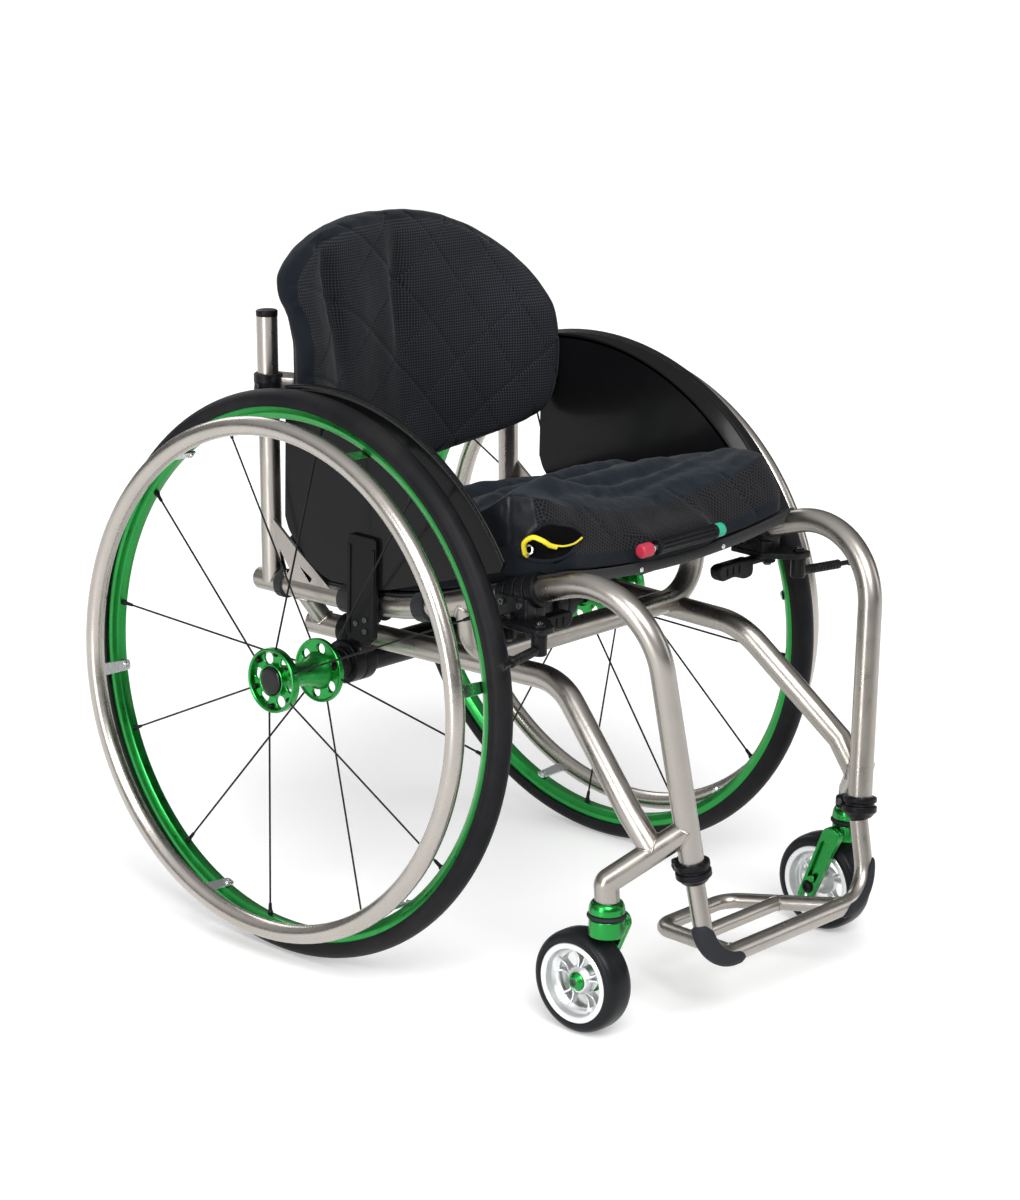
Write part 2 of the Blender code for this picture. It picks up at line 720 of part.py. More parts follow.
def caster_fork(finish):
    foot = CROWN_BOTTOM
    profile = [(HOUSING_TOP - 0.004, 0.0), (HOUSING_TOP - 0.004, STEM_RADIUS), (CROWN_TOP, STEM_RADIUS),
               (CROWN_TOP, CROWN_RADIUS - 0.0005), (foot + 0.001, CROWN_RADIUS), (foot, CROWN_RADIUS - 0.001),
               (foot, 0.008), (foot - 0.0022, 0.008), (foot - 0.0022, 0.0)]
    fork = upright(profile, 14)
    outer = STEM.x - CASTER_HALF_WIDTH - FORK_CLEARANCE
    inner = outer - FORK_THICKNESS
    shoulder = (STEM.y + 0.003, foot + 0.0068)
    axle = (STEM.y + CASTER_TRAIL, CASTER_RADIUS)
    heading = (Vector(axle) - Vector(shoulder)).normalized()
    tip = Vector(axle) + heading * 0.013
    join(fork, tube("boss", [(inner, *shoulder), (STEM.x, *shoulder)], 0.0095))
    join(fork, prism("blade", capsule(shoulder, tip, 0.0105, 0.0085), inner, outer))
    recess_top = Vector(shoulder) + heading * 0.012
    recess_end = Vector(axle) - heading * 0.012
    recess = capsule(recess_top, recess_end, 0.0050, 0.0040, 3)
    cut(fork, prism("recess", recess, inner - 0.002, inner + 0.003))
    slot_end = Vector(axle) + heading * 0.03
    slot = capsule(axle, slot_end, CASTER_BOLT + TOUCH, CASTER_BOLT + TOUCH, 4)
    cut(fork, prism("slot", slot, inner - 0.002, outer + 0.002))
    return dressed(fork, "left_caster_fork", finish)


def caster_axle(finish):
    outer = -CASTER_HALF_WIDTH - FORK_CLEARANCE
    inner = outer - FORK_THICKNESS - TOUCH
    cap = 0.0102
    profile = [(inner - 0.0035, 0.0), (inner - 0.0035, 0.0055), (inner, 0.0055), (inner, CASTER_BOLT),
               (cap, CASTER_BOLT), (cap, 0.0095), (cap + 0.0010, 0.0095), (cap + 0.0045, 0.0055),
               (cap + 0.0045, 0.0)]
    return dressed(turned("axle", profile, 10, caster_place()), "left_caster_axle", finish)


def caster_hub(finish):
    lip = CASTER_HALF_WIDTH - 0.0004
    edge = CASTER_HUB_RADIUS
    bore = CASTER_BOLT + RUNNING
    boss = 0.0098
    inner_boss = -CASTER_HALF_WIDTH - FORK_CLEARANCE + 2 * TOUCH
    profile = [(lip, edge), (lip, edge - 0.0045), (0.0035, edge - 0.0090), (0.0030, 0.0150),
               (boss, 0.0105), (boss, bore), (inner_boss, bore), (inner_boss, 0.0070), (-0.0030, 0.0150),
               (-0.0035, edge - 0.0090), (-lip, edge - 0.0045), (-lip, edge)]
    hub = turned("caster_hub", profile, CASTER_STEPS, caster_place())
    spokes = 5
    cutters = []
    for i in range(spokes):
        window = wedge(math.tau * (i + 0.5) / spokes, math.radians(19.0), 0.0165, edge - 0.0100, 3)
        slit = wedge(math.tau * i / spokes, math.radians(5.0), 0.0185, edge - 0.0105, 1)
        cutters.append(prism("window", window, STEM.x - 0.006, STEM.x + 0.006))
        cutters.append(prism("slit", slit, STEM.x - 0.006, STEM.x + 0.006))
    cut(hub, *cutters)
    return dressed(hub, "left_caster_hub", finish)


def wedge(turn, half_angle, inner, outer, steps):
    """A sector outline round the caster's axle."""
    centre = caster_place().translation
    outline = []
    for radius, first in ((outer, -half_angle), (inner, half_angle)):
        for i in range(steps + 1):
            angle = turn + first - 2 * first * i / steps
            outline.append((centre.y + radius * math.cos(angle), centre.z + radius * math.sin(angle)))
    return outline


def caster_tyre(finish):
    seat = CASTER_HUB_RADIUS + TOUCH
    half = CASTER_HALF_WIDTH
    deep = CASTER_RADIUS - seat
    side = [(half * 0.98, seat), (half, seat + deep * 0.22), (half * 0.87, seat + deep * 0.66),
            (half * 0.55, seat + deep * 0.93)]
    profile = side + [(0.0, CASTER_RADIUS)] + [(-x, radius) for x, radius in reversed(side)]
    return dressed(turned("caster_tyre", profile, CASTER_STEPS, caster_place()), "left_caster_tyre", finish)


# Footrest

def footrest(finish):
    left = leg_path()
    front = left[:-1] + [FLIP @ point for point in reversed(left[:-1])]
    bar = tube("bar", front, FOOTREST_RADIUS)
    start = Vector((LOOP_FRONT_X, left[-1].y, BAR_Z))
    corner = Vector((LOOP_REAR_X, LOOP_REAR_Y, LOOP_REAR_Z))
    half = [start, corner]
    loop = half + [FLIP @ point for point in reversed(half)]
    join(bar, tube("loop", fillet_path(loop, [LOOP_BEND, LOOP_BEND]), LOOP_RADIUS, 10))
    middle = start.lerp(corner, CROSSBAR_SHARE)
    join(bar, tube("crossbar", [middle, FLIP @ middle], LOOP_RADIUS - 0.0005, 10))
    return dressed(bar, "footrest", finish)


def footrest_clamp(finish):
    upper = front_at(FRONT_END_Z + 0.018)
    lower = front_at(FRONT_END_Z + 0.002)
    foot = leg_path()[0].lerp(leg_path()[1], 0.001)
    leg = leg_path()
    down = (leg[1] - leg[0]).normalized()
    clamp = tube("collar", [lower, leg[0] + down * 0.009], RAIL_RADIUS + 0.0022)
    join(clamp, tube("band", [upper, lower - (upper - lower) * 0.05], RAIL_RADIUS + 0.0045))
    back = Vector((-0.4, 0.9, 0.0)).normalized()
    middle = upper.lerp(lower, 0.5)
    lug = [middle + back * (RAIL_RADIUS - 0.002), middle + back * (RAIL_RADIUS + 0.013)]
    join(clamp, sweep("lug", lug, [(-0.006, -0.0085), (0.006, -0.0085), (0.006, 0.0085), (-0.006, 0.0085)]))
    groove = [middle - back * 0.030, middle + back * 0.001]
    cut(clamp, sweep("groove", groove, [(-0.03, -0.002), (0.03, -0.002), (0.03, 0.002), (-0.03, 0.002)]))
    legs = grown([leg[0] - down * 0.002] + leg[1:3], FOOTREST_RADIUS)
    cut(clamp, grown(rail_path(), RAIL_RADIUS, reach=0.0003), legs)
    return dressed(drop_offcuts(clamp), "left_footrest_clamp", finish)


def corner_guard(finish):
    """A rubber strip on the outside of the footrest's bend."""
    leg = leg_path()
    bend = [leg[1].lerp(leg[0], 0.03)] + leg[1:-1]
    bend += [leg[-2].lerp(leg[-1], 0.09)]
    inner = (FOOTREST_RADIUS + TOUCH) / math.cos(math.radians(12.5))
    spread = [math.radians(a) for a in (-50.0, -25.0, 0.0, 25.0, 50.0)]
    profile = [(inner * math.sin(a), inner * math.cos(a)) for a in spread]
    outer = inner + GUARD_STRIP
    profile += [(outer * math.sin(a) * 0.96, outer * math.cos(a)) for a in reversed(spread)]
    outward = Vector((1.0, -0.45, -0.2))
    strip = sweep("strip", bend, profile, up=outward)
    return dressed(strip, "left_corner_guard", finish)


# Side guards

def guard_turns():
    """Where the guard's arc starts and ends: at its front corner and above the cane."""
    front = math.atan2(GUARD_CORNER_RISE, -GUARD_CORNER_Y)
    rear = math.pi / 2 + math.asin(0.060 / PANEL_ARC)
    return front, rear


def side_guard(finish):
    inner = RAIL_X + RAIL_RADIUS + PANEL_OUTSET
    outer = inner + PANEL_THICKNESS
    front, rear = guard_turns()
    steps = 9
    arc = []
    for i in range(steps + 1):
        turn = front + (rear - front) * i / steps
        arc.append((-PANEL_ARC * math.cos(turn), AXLE_Z + PANEL_ARC * math.sin(turn)))
    sill = [(0.060, 0.150), (0.054, 0.135), (0.020, 0.104), (-0.004, 0.0935), (-0.083, 0.0985),
            (-0.228, 0.146), (-0.240, 0.1495)]
    size = PANEL_ARC / DRAWN_ARC
    outline = arc + [(y * size, AXLE_Z + rise * size) for y, rise in sill]
    panel = prism("panel", outline, inner, outer)
    rings = []
    for i in range(steps + 1):
        turn = front + (rear - front) * i / steps
        ring = []
        share = 0.12 + 0.88 * min(1.0, (rear - turn) / math.radians(38.0))
        reach = PANEL_ARC + (LIP_ARC - PANEL_ARC) * share
        flare = outer + LIP_FLARE * share
        for x, radius in ((inner, PANEL_ARC - 0.004), (outer, PANEL_ARC - 0.004),
                          (outer, PANEL_ARC - 0.001), (flare, reach - 0.001),
                          (flare - 0.0012, reach + 0.0005), (inner, PANEL_ARC + 0.001)):
            ring.append(Vector((x, -radius * math.cos(turn), AXLE_Z + radius * math.sin(turn))))
        rings.append(ring)
    join(panel, loft("lip", rings))
    return dressed(panel, "left_side_guard", finish)


def half_clamp(path, y, length, radius):
    """A clamp that holds a rail from below, clear of the fabric on top of it."""
    front = at_y(path, y - length / 2)[0]
    rear = at_y(path, y + length / 2)[0]
    clamp = tube("clamp", [rear, front], radius)
    middle, along = at_y(path, y)
    lid = sweep("lid", [rear - along * 0.02, front + along * 0.02],
                [(-0.03, 0.004), (0.03, 0.004), (0.03, 0.04), (-0.03, 0.04)])
    return cut(clamp, lid)


def guard_receiver(finish):
    """The bracket on the rail that the side guard drops into."""
    path = rail_path()
    inner = RAIL_X + RAIL_RADIUS + PANEL_OUTSET + PANEL_THICKNESS + 2 * TOUCH
    outer = inner + 0.0045
    low = RECEIVER_Y - RECEIVER_WIDTH / 2
    high = RECEIVER_Y + RECEIVER_WIDTH / 2
    base = at_y(path, RECEIVER_Y)[0].z
    sill = AXLE_Z + 0.0925
    bracket = half_clamp(path, RECEIVER_Y, RECEIVER_WIDTH - 0.012, RAIL_RADIUS + CLAMP_WALL)
    post = [(low, base - 0.030), (low + 0.006, base - 0.036), (high - 0.006, base - 0.036),
            (high, base - 0.030), (high, base + 0.072), (high - 0.003, base + 0.075),
            (low + 0.003, base + 0.075), (low, base + 0.072)]
    join(bracket, prism("post", post, inner, outer))
    bridge_low = (RAIL_X + 0.006, low + 0.007, base - 0.016)
    bridge_high = (inner + 0.002, high - 0.007, min(base + 0.010, sill - 0.004))
    join(bracket, block("bridge", bridge_low, bridge_high))
    cut(bracket, grown(path, RAIL_RADIUS))
    return dressed(drop_offcuts(bracket), "left_guard_receiver", finish)


# Wheel locks

def lock_deck():
    """The underside of the lock's base plate."""
    lowest = at_y(rail_path(), LOCK_Y + LOCK_LENGTH / 2)[0].z
    return lowest - RAIL_RADIUS - 0.007


def wheel_lock_base(finish):
    path = rail_path()
    deck = lock_deck()
    pivot_x = RAIL_X + LOCK_PIVOT_OUTSET
    base = half_clamp(path, LOCK_Y, LOCK_LENGTH, RAIL_RADIUS + CLAMP_WALL + 0.001)
    outline = [(RAIL_X - 0.010, LOCK_Y + 0.024), (RAIL_X - 0.010, LOCK_Y - 0.020),
               (pivot_x - 0.012, SHOE_PIVOT_Y - 0.009), (pivot_x + 0.008, SHOE_PIVOT_Y - 0.010),
               (pivot_x + 0.011, SHOE_PIVOT_Y - 0.005), (pivot_x + 0.011, LEVER_PIVOT_Y + 0.006),
               (pivot_x + 0.004, LEVER_PIVOT_Y + 0.012)]
    join(base, prism("plate", outline, deck, deck + 0.006, "Z"))
    for y in (LEVER_PIVOT_Y, SHOE_PIVOT_Y):
        join(base, tube("cap", [(pivot_x, y, deck + 0.003), (pivot_x, y, deck + 0.009)], 0.006, 8))
    middle = at_y(path, LOCK_Y)[0].z
    cheek_low = (RAIL_X + 0.004, LOCK_Y - 0.020, deck + 0.003)
    join(base, block("cheek", cheek_low, (RAIL_X + 0.020, LOCK_Y + 0.020, middle)))
    cut(base, grown(path, RAIL_RADIUS))
    return dressed(drop_offcuts(base), "left_wheel_lock_base", finish)


def wheel_lock_lever(finish):
    top = lock_deck() - TOUCH
    pivot = Vector((RAIL_X + LOCK_PIVOT_OUTSET, LEVER_PIVOT_Y, top))
    level = top - LEVER_RADIUS - 0.001
    lever = tube("boss", [pivot, pivot - Vector((0.0, 0.0, 2 * LEVER_RADIUS + 0.002))], 0.0085, 10)
    end = pivot.x - GRIP_REACH
    join(lever, tube("arm", [(pivot.x, pivot.y, level), (end + 0.012, pivot.y, level)], LEVER_RADIUS, 8))
    low = level - 0.0170
    grip = [(end, level + 0.002), (end + 0.002, level - 0.008), (end + 0.010, low + 0.004),
            (end + 0.030, low + 0.006), (end + 0.048, low), (end + 0.060, low + 0.002),
            (end + 0.0615, level - 0.004), (end + 0.056, level + 0.0055), (end + 0.006, level + 0.0055)]
    join(lever, prism("grip", grip, pivot.y - 0.0065, pivot.y + 0.0065, "Y"))
    return dressed(lever, "left_wheel_lock_lever", finish)


def wheel_lock_shoe(finish):
    top = lock_deck() - TOUCH
    pivot = Vector((RAIL_X + LOCK_PIVOT_OUTSET, SHOE_PIVOT_Y, top))
    level = top - 0.0154
    shoe = tube("boss", [pivot, Vector((pivot.x, pivot.y, level - 0.0065))], 0.008, 10)
    outward = Vector((math.cos(SHOE_REST), -math.sin(SHOE_REST), 0.0))
    root = Vector((pivot.x, pivot.y, level))
    reaches = [0.0, SHOE_REACH * 0.75, SHOE_REACH * 0.76, SHOE_REACH * 0.92, SHOE_REACH * 0.93, SHOE_REACH]
    path = [root + outward * reach for reach in reaches]
    join(shoe, tube("bar", path, SHOE_RADIUS, 10, scales=[1.0, 1.0, 0.55, 0.55, 0.8, 0.6]))
    return dressed(shoe, "left_wheel_lock_shoe", finish)


# Seat

def seat_top(y):
    """The height of the fabric over a rail."""
    centre, along = at_y(rail_path(), y)
    return centre.z + (RAIL_RADIUS + TOUCH + SLING_THICKNESS) / abs(along.y)


def sling_sag(x):
    return SLING_SAG * max(0.0, 1.0 - (x / RAIL_X) ** 2)


def seat_sling(finish):
    path = rail_path()
    stations = (0.079, 0.02, -0.045, -0.11, -0.18, -0.25, -0.305)
    over_rail = RAIL_RADIUS + TOUCH + SLING_THICKNESS
    rings = []
    for y in stations:
        centre, along = at_y(path, y)
        half = []
        for out in (0.0050, 0.0, -0.0040):
            bend = math.sqrt(over_rail ** 2 - max(out, 0.0) ** 2) / abs(along.y)
            x = RAIL_X + out
            half.append((x, centre.z + bend - sling_sag(x), centre.z + 0.006))
        for x in (RAIL_X - 0.0075, 0.125, 0.065):
            top = centre.z + over_rail / abs(along.y) - sling_sag(x)
            half.append((x, top, top - SLING_THICKNESS))
        centre_top = centre.z + over_rail / abs(along.y) - sling_sag(0.0)
        columns = half + [(0.0, centre_top, centre_top - SLING_THICKNESS)]
        columns += [(-x, top, under) for x, top, under in reversed(half)]
        ring = [Vector((x, y, top)) for x, top, under in columns]
        rings.append(ring + [Vector((x, y, under)) for x, top, under in reversed(columns)])
    sling = loft("sling", rings)
    straps = []
    for y, width in ((0.0752, STRAP_WIDTH * 0.62), (-0.020, STRAP_WIDTH), (-0.125, STRAP_WIDTH)):
        front = at_y(path, y - width / 2)[0]
        rear = at_y(path, y + width / 2)[0]
        for ends in ([rear, front], [FLIP @ rear, FLIP @ front]):
            straps.append(tube("strap", ends, RAIL_RADIUS + TOUCH + STRAP_THICKNESS))
    join(sling, *straps)
    cut(sling, grown(path, RAIL_RADIUS), grown([FLIP @ point for point in path], RAIL_RADIUS))
    return dressed(drop_offcuts(sling), "seat_sling", finish)


def smooth_between(stations, at):
    """A smooth curve through (place, value) stations in falling order of place."""
    places = [station[0] for station in stations]
    if at >= places[0]:
        return stations[0][1]
    if at <= places[-1]:
        return stations[-1][1]
    for (high, first), (low, second) in zip(stations, stations[1:]):
        if low <= at <= high:
            share = (high - at) / (high - low)
            return first + (second - first) * (3 - 2 * share) * share ** 2


def cushion_thickness(y):
    stations = ((CUSHION_REAR_Y, 0.036), (-0.106, 0.070), (-0.215, 0.068), (-0.275, 0.048),
                (CUSHION_FRONT_Y, 0.036))
    return smooth_between(stations, y)


def cushion(finish):
    """A contoured cushion: drawn-in sides, a raised crown and a belly that sags with the sling."""
    half_x = RAIL_X + CUSHION_OVERHANG
    half_y = (CUSHION_REAR_Y - CUSHION_FRONT_Y) / 2
    middle_y = (CUSHION_REAR_Y + CUSHION_FRONT_Y) / 2
    count = 36
    square = 13.0
    layers = [(0.085, 0.0, 0.00), (0.030, 0.0, 0.00), (0.006, 0.0, 0.02), (0.001, 0.0, 0.28),
              (0.000, 0.0, 0.55), (0.002, 0.0, 0.86), (0.007, 0.0, 1.00), (0.020, 0.25, 1.0),
              (0.045, 0.60, 1.0), (0.085, 0.9, 1.0), (0.130, 1.0, 1.0)]
    rings = []
    for inset, crown, rise in layers:
        ring = []
        for i in range(count):
            turn = math.tau * (i + 0.5) / count
            cosine, sine = math.cos(turn), math.sin(turn)
            x = (half_x - inset) * math.copysign(abs(cosine) ** (2 / square), cosine)
            y = middle_y + (half_y - inset) * math.copysign(abs(sine) ** (2 / square), sine)
            within = min(max(y, CUSHION_FRONT_Y + 0.010), CUSHION_REAR_Y - 0.002)
            bottom = seat_top(within) + 0.0012 - sling_sag(x)
            height = bottom + cushion_thickness(within) * rise + crown * CUSHION_CROWN
            if crown > 0.0:
                height += sling_sag(x) * rise
            elif rise > 0.5:
                height += sling_sag(x) * rise * 0.8
            ring.append(Vector((x, y, height)))
        rings.append(ring)
    return dressed(loft("cushion", rings), "cushion", finish, math.radians(60.0))


def valve_axis():
    return Vector((VALVE_X, CUSHION_FRONT_Y - VALVE_RADIUS + VALVE_SEAT, VALVE_Z))


def valve_body(finish):
    half = VALVE_LENGTH / 2
    groove = VALVE_RADIUS - 0.0012
    bore = 0.0030 + RUNNING
    profile = [(-half, bore), (-half, VALVE_RADIUS - 0.0008), (-half + 0.0008, VALVE_RADIUS)]
    for i in range(3):
        start = -half + VALVE_LENGTH * (i + 1) / 4 - 0.002
        profile += [(start, VALVE_RADIUS), (start, groove)]
        profile += [(start + 0.004, groove), (start + 0.004, VALVE_RADIUS)]
    profile += [(half - 0.0008, VALVE_RADIUS), (half, VALVE_RADIUS - 0.0008), (half, bore)]
    place = Matrix.Translation(valve_axis())
    return dressed(turned("valve", profile, 10, place), "cushion_valve_body", finish)


def valve_slider(finish):
    half = VALVE_LENGTH / 2
    knob = 0.0072
    free = VALVE_TRAVEL + 0.001
    stem = 0.0030
    red = -half - free
    profile = [(red - 0.0160, 0.0), (red - 0.0160, knob - 0.002), (red - 0.0145, knob), (red, knob),
               (red, stem), (half + TOUCH, stem), (half + TOUCH, knob), (half + 0.0105, knob),
               (half + 0.0120, knob - 0.002), (half + 0.0120, 0.0)]
    place = Matrix.Translation(valve_axis())
    return dressed(turned("slider", profile, 10, place), "cushion_valve_slider", finish)


def pocket_hose(finish):
    """The inflation hose, out of an eyelet at the cushion's front corner and back into its pocket."""
    side = -RAIL_X - CUSHION_OVERHANG - CORD_RADIUS
    front = CUSHION_FRONT_Y
    corners = [(0.0009, 0.048, 0.0080), (-0.0051, 0.044, 0.0200), (-0.0061, 0.033, 0.0280),
               (-0.0041, 0.023, 0.0270), (0.0044, 0.0195, 0.0210)]
    path = [Vector((side + out, front + back, VALVE_Z + rise)) for out, back, rise in corners]
    fine = []
    for i in range(len(path) - 1):
        before, start, end, after = path[max(i - 1, 0)], path[i], path[i + 1], path[min(i + 2, len(path) - 1)]
        for k in range(3):
            t = k / 3
            curve = 2 * start + (end - before) * t + (2 * before - 5 * start + 4 * end - after) * t ** 2
            curve += (3 * start - before - 3 * end + after) * t ** 3
            fine.append(curve / 2)
    fine.append(path[-1])
    hose = bpy.data.curves.new("pocket_hose", "CURVE")
    hose.dimensions = "3D"
    hose.bevel_depth = CORD_RADIUS
    hose.bevel_resolution = 2
    hose.use_fill_caps = True
    spline = hose.splines.new("POLY")
    spline.points.add(len(fine) - 1)
    for point, place in zip(spline.points, fine):
        point.co = (*place, 1.0)
    obj = bpy.data.objects.new("pocket_hose", hose)
    bpy.context.scene.collection.objects.link(obj)
    hose.materials.append(finish)
    return obj


# Back

# The pad's outline as drawn at full size: the height above its lower edge and the half width there
DRAWN_HALF_WIDTH = 0.190
DRAWN_HEIGHT = 0.275
DRAWN_OUTLINE = ((DRAWN_HEIGHT, 0.022), (0.270, 0.060), (0.258, 0.098), (0.239, 0.134), (0.214, 0.165),
                 (0.180, 0.183), (0.117, DRAWN_HALF_WIDTH), (0.072, DRAWN_HALF_WIDTH), (0.041, 0.181),
                 (0.026, 0.145), (0.010, 0.085), (0.0, 0.025))


def pad_outline():
    """The drawn outline at the pad's own height and width."""
    tall = PAD_HEIGHT / DRAWN_HEIGHT
    wide = PAD_HALF_WIDTH / DRAWN_HALF_WIDTH
    return [(PAD_BOTTOM_Z + rise * tall, half * wide) for rise, half in DRAWN_OUTLINE]


def pad_rear(x, z):
    """The rear face of the pad: wings come forward, less so towards the top."""
    straight = max(0.0, min(1.0, (z - PAD_BOTTOM_Z - 0.162) / 0.07))
    curve = PAD_CURVE * (1.0 - 0.5 * straight)
    lean = CANE_LEAN / CANE_HEIGHT * (z - PAD_BOTTOM_Z - 0.142)
    return PAD_REAR_Y - curve * (x / PAD_HALF_WIDTH) ** 2 + lean


def pad_ring(share, back):
    """The pad's outline drawn in towards its middle, at a depth in front of its rear face."""
    middle = (PAD_TOP_Z + PAD_BOTTOM_Z) / 2
    if share == 0:
        return [Vector((0.0, pad_rear(0.0, middle) - back, middle))]
    ring = []
    outline = pad_outline()
    for side, rows in ((1, outline), (-1, outline[::-1])):
        for z, half in rows:
            x = side * half * share
            height = middle + (z - middle) * share
            ring.append(Vector((x, pad_rear(x, height) - back, height)))
    return ring


def back_pad(finish):
    deep = PAD_THICKNESS
    layers = [(0.0, 0.0), (0.40, 0.0), (0.75, 0.0), (0.965, 0.001), (0.995, 0.006), (1.0, 0.014),
              (0.985, 0.025), (0.94, 0.032), (0.75, deep), (0.40, deep + 0.003), (0.0, deep + 0.003)]
    rings = [pad_ring(share, back) for share, back in layers]
    return dressed(loft("pad", rings), "back_pad", finish, math.radians(60.0))


def shell_rings(grow=0.0):
    front = grow - 2 * TOUCH
    rear = -2 * TOUCH - SHELL_THICKNESS - grow
    edge = SHELL_SHARE + 4 * grow
    rings = [pad_ring(share, front) for share in (0.0, 0.40, 0.75, edge)]
    return rings + [pad_ring(share, rear) for share in (edge, 0.75, 0.40, 0.0)]


def back_shell(finish):
    return dressed(loft("shell", shell_rings()), "back_shell", finish)


def back_mount(finish):
    """The clamp on a cane that carries the back shell."""
    low, high = cane_path()
    along = (high - low).normalized()
    centre = low + along * ((MOUNT_Z - low.z) / along.z)
    clamp = tube("mount", [centre - along * 0.012, centre + along * 0.012], CANE_RADIUS + CLAMP_WALL)
    inner = centre.x - 0.034
    skin = 2 * TOUCH + SHELL_THICKNESS / 2
    mid = inner + 0.024
    bracket = [(inner, pad_rear(inner, MOUNT_Z) + skin), (mid, pad_rear(mid, MOUNT_Z) + skin),
               (centre.x + 0.004, centre.y - 0.008), (centre.x - 0.002, centre.y + 0.012),
               (inner + 0.010, centre.y + 0.008)]
    join(clamp, prism("bracket", bracket, MOUNT_Z - 0.009, MOUNT_Z + 0.009, "Z"))
    cut(clamp, grown([low, high], CANE_RADIUS), loft("clearance", shell_rings(0.0004)))
    return dressed(drop_offcuts(clamp), "left_back_mount", finish)


# Assembly

def joint_frame(name, place, parent=None):
    frame = bpy.data.objects.new(name, None)
    frame.empty_display_size = 0.03
    bpy.context.scene.collection.objects.link(frame)
    frame.parent = parent
    frame.matrix_local = place
    return frame


def attach(obj, frame, place):
    """Moves an object's origin to its joint and hangs it there."""
    if obj.type == "MESH":
        obj.data.transform(place.inverted())
    obj.parent = frame


def mirrored(obj):
    mesh = obj.data.copy()
    mesh.transform(FLIP)
    mesh.flip_normals()
    name = obj.name.replace("left_", "right_")
    mesh.name = name
    twin = bpy.data.objects.new(name, mesh)
    bpy.context.scene.collection.objects.link(twin)
    return twin


def finishes():
    return {
        "titanium": material("brushed_titanium", (0.47, 0.45, 0.42), 0.33, 1.0),
        "satin": material("satin_titanium", (0.62, 0.59, 0.55), 0.28, 1.0),
        "green": material("green_anodised", (0.02, 0.30, 0.06), 0.25, 0.9),
        "black": material("black_anodised", (0.015, 0.016, 0.018), 0.40, 0.6),
        "plastic": material("black_plastic", (0.018, 0.018, 0.020), 0.45, 0.0),
        "gloss": material("gloss_black_panel", (0.012, 0.012, 0.013), 0.12, 0.0),
        "tyre": material("black_tyre", (0.020, 0.021, 0.024), 0.60, 0.0),
        "soft_tyre": material("soft_black_tyre", (0.016, 0.017, 0.019), 0.35, 0.0),
        "polished": material("polished_aluminium", (0.85, 0.86, 0.87), 0.12, 1.0),
        "steel": material("steel", (0.55, 0.55, 0.55), 0.25, 1.0),
        "fabric": material("dark_fabric", (0.014, 0.018, 0.024), 0.85, 0.0),
        "mesh": material("black_mesh", (0.010, 0.010, 0.012), 0.90, 0.0),
        "red": material("red_knob", (0.60, 0.03, 0.06), 0.40, 0.0),
        "yellow": material("yellow_hose", (0.80, 0.65, 0.02), 0.40, 0.0),
    }


def build():
    clear_scene()
    look = finishes()
    wheel = wheel_place()
    stem = Matrix.Translation(STEM)
    deck = lock_deck()
    pivot_x = RAIL_X + LOCK_PIVOT_OUTSET
    lever = Matrix.Translation((pivot_x, LEVER_PIVOT_Y, deck))
    shoe = Matrix.Translation((pivot_x, SHOE_PIVOT_Y, deck))
    still = Matrix()
    sided = [
        (main_tube, "titanium", "frame", still), (lower_tube, "titanium", "frame", still),
        (caster_arm, "titanium", "frame", still), (axle_clamp, "black", "frame", still),
        (back_cane, "titanium", "frame", still), (back_mount, "black", "frame", still),
        (footrest_clamp, "black", "frame", still), (corner_guard, "tyre", "frame", still),
        (guard_receiver, "plastic", "frame", still), (wheel_lock_base, "black", "frame", still),
        (axle_pin, "steel", "frame", still), (caster_housing, "green", "frame", still),
        (caster_seal, "tyre", "frame", still), (side_guard, "gloss", "guard", still),
        (wheel_lock_lever, "black", "lever", lever), (wheel_lock_shoe, "black", "shoe", shoe),
        (tyre, "tyre", "wheel", wheel), (rim, "green", "wheel", wheel), (handrim, "satin", "wheel", wheel),
        (spoked_hub, "green", "wheel", wheel), (axle_button, "plastic", "button", wheel),
        (caster_fork, "green", "swivel", stem), (caster_axle, "green", "swivel", stem),
        (caster_hub, "polished", "caster", caster_place()),
        (caster_tyre, "soft_tyre", "caster", caster_place()),
    ]
    single = [
        (seat_cross_tube, "titanium"), (camber_tube, "black"), (seat_sling, "fabric"), (cushion, "fabric"),
        (valve_body, "plastic"), (back_shell, "plastic"), (back_pad, "mesh"), (footrest, "titanium"),
        (pocket_hose, "yellow"),
    ]
    chair = joint_frame("chair", Matrix())
    frames = {}
    for side, flip in (("left", Matrix()), ("right", FLIP)):
        frames[side, "frame"] = chair
        for joint, place, parent in (("guard", still, None), ("lever", lever, None), ("shoe", shoe, None),
                                     ("wheel", wheel, None), ("button", wheel, None), ("swivel", stem, None),
                                     ("caster", stem.inverted() @ caster_place(), "swivel")):
            holder = frames[side, parent] if parent else chair
            frames[side, joint] = joint_frame(side + "_" + joint + "_joint", flip @ place @ flip, holder)
    pieces = []
    for make, finish, joint, place in sided:
        left = make(look[finish])
        right = mirrored(left)
        attach(left, frames["left", joint], place)
        attach(right, frames["right", joint], FLIP @ place @ FLIP)
        pieces += [left, right]
    for make, finish in single:
        piece = make(look[finish])
        attach(piece, chair, still)
        pieces.append(piece)
    slider_place = Matrix.Translation(valve_axis())
    slider = valve_slider(look["red"])
    attach(slider, joint_frame("valve_joint", slider_place, chair), slider_place)
    pieces.append(slider)
    bpy.context.view_layer.update()
    reach = [(piece.matrix_world @ Vector(corner)).y for piece in pieces for corner in piece.bound_box]
    chair.location.y = -(min(reach) + max(reach)) / 2
    return pieces


build()
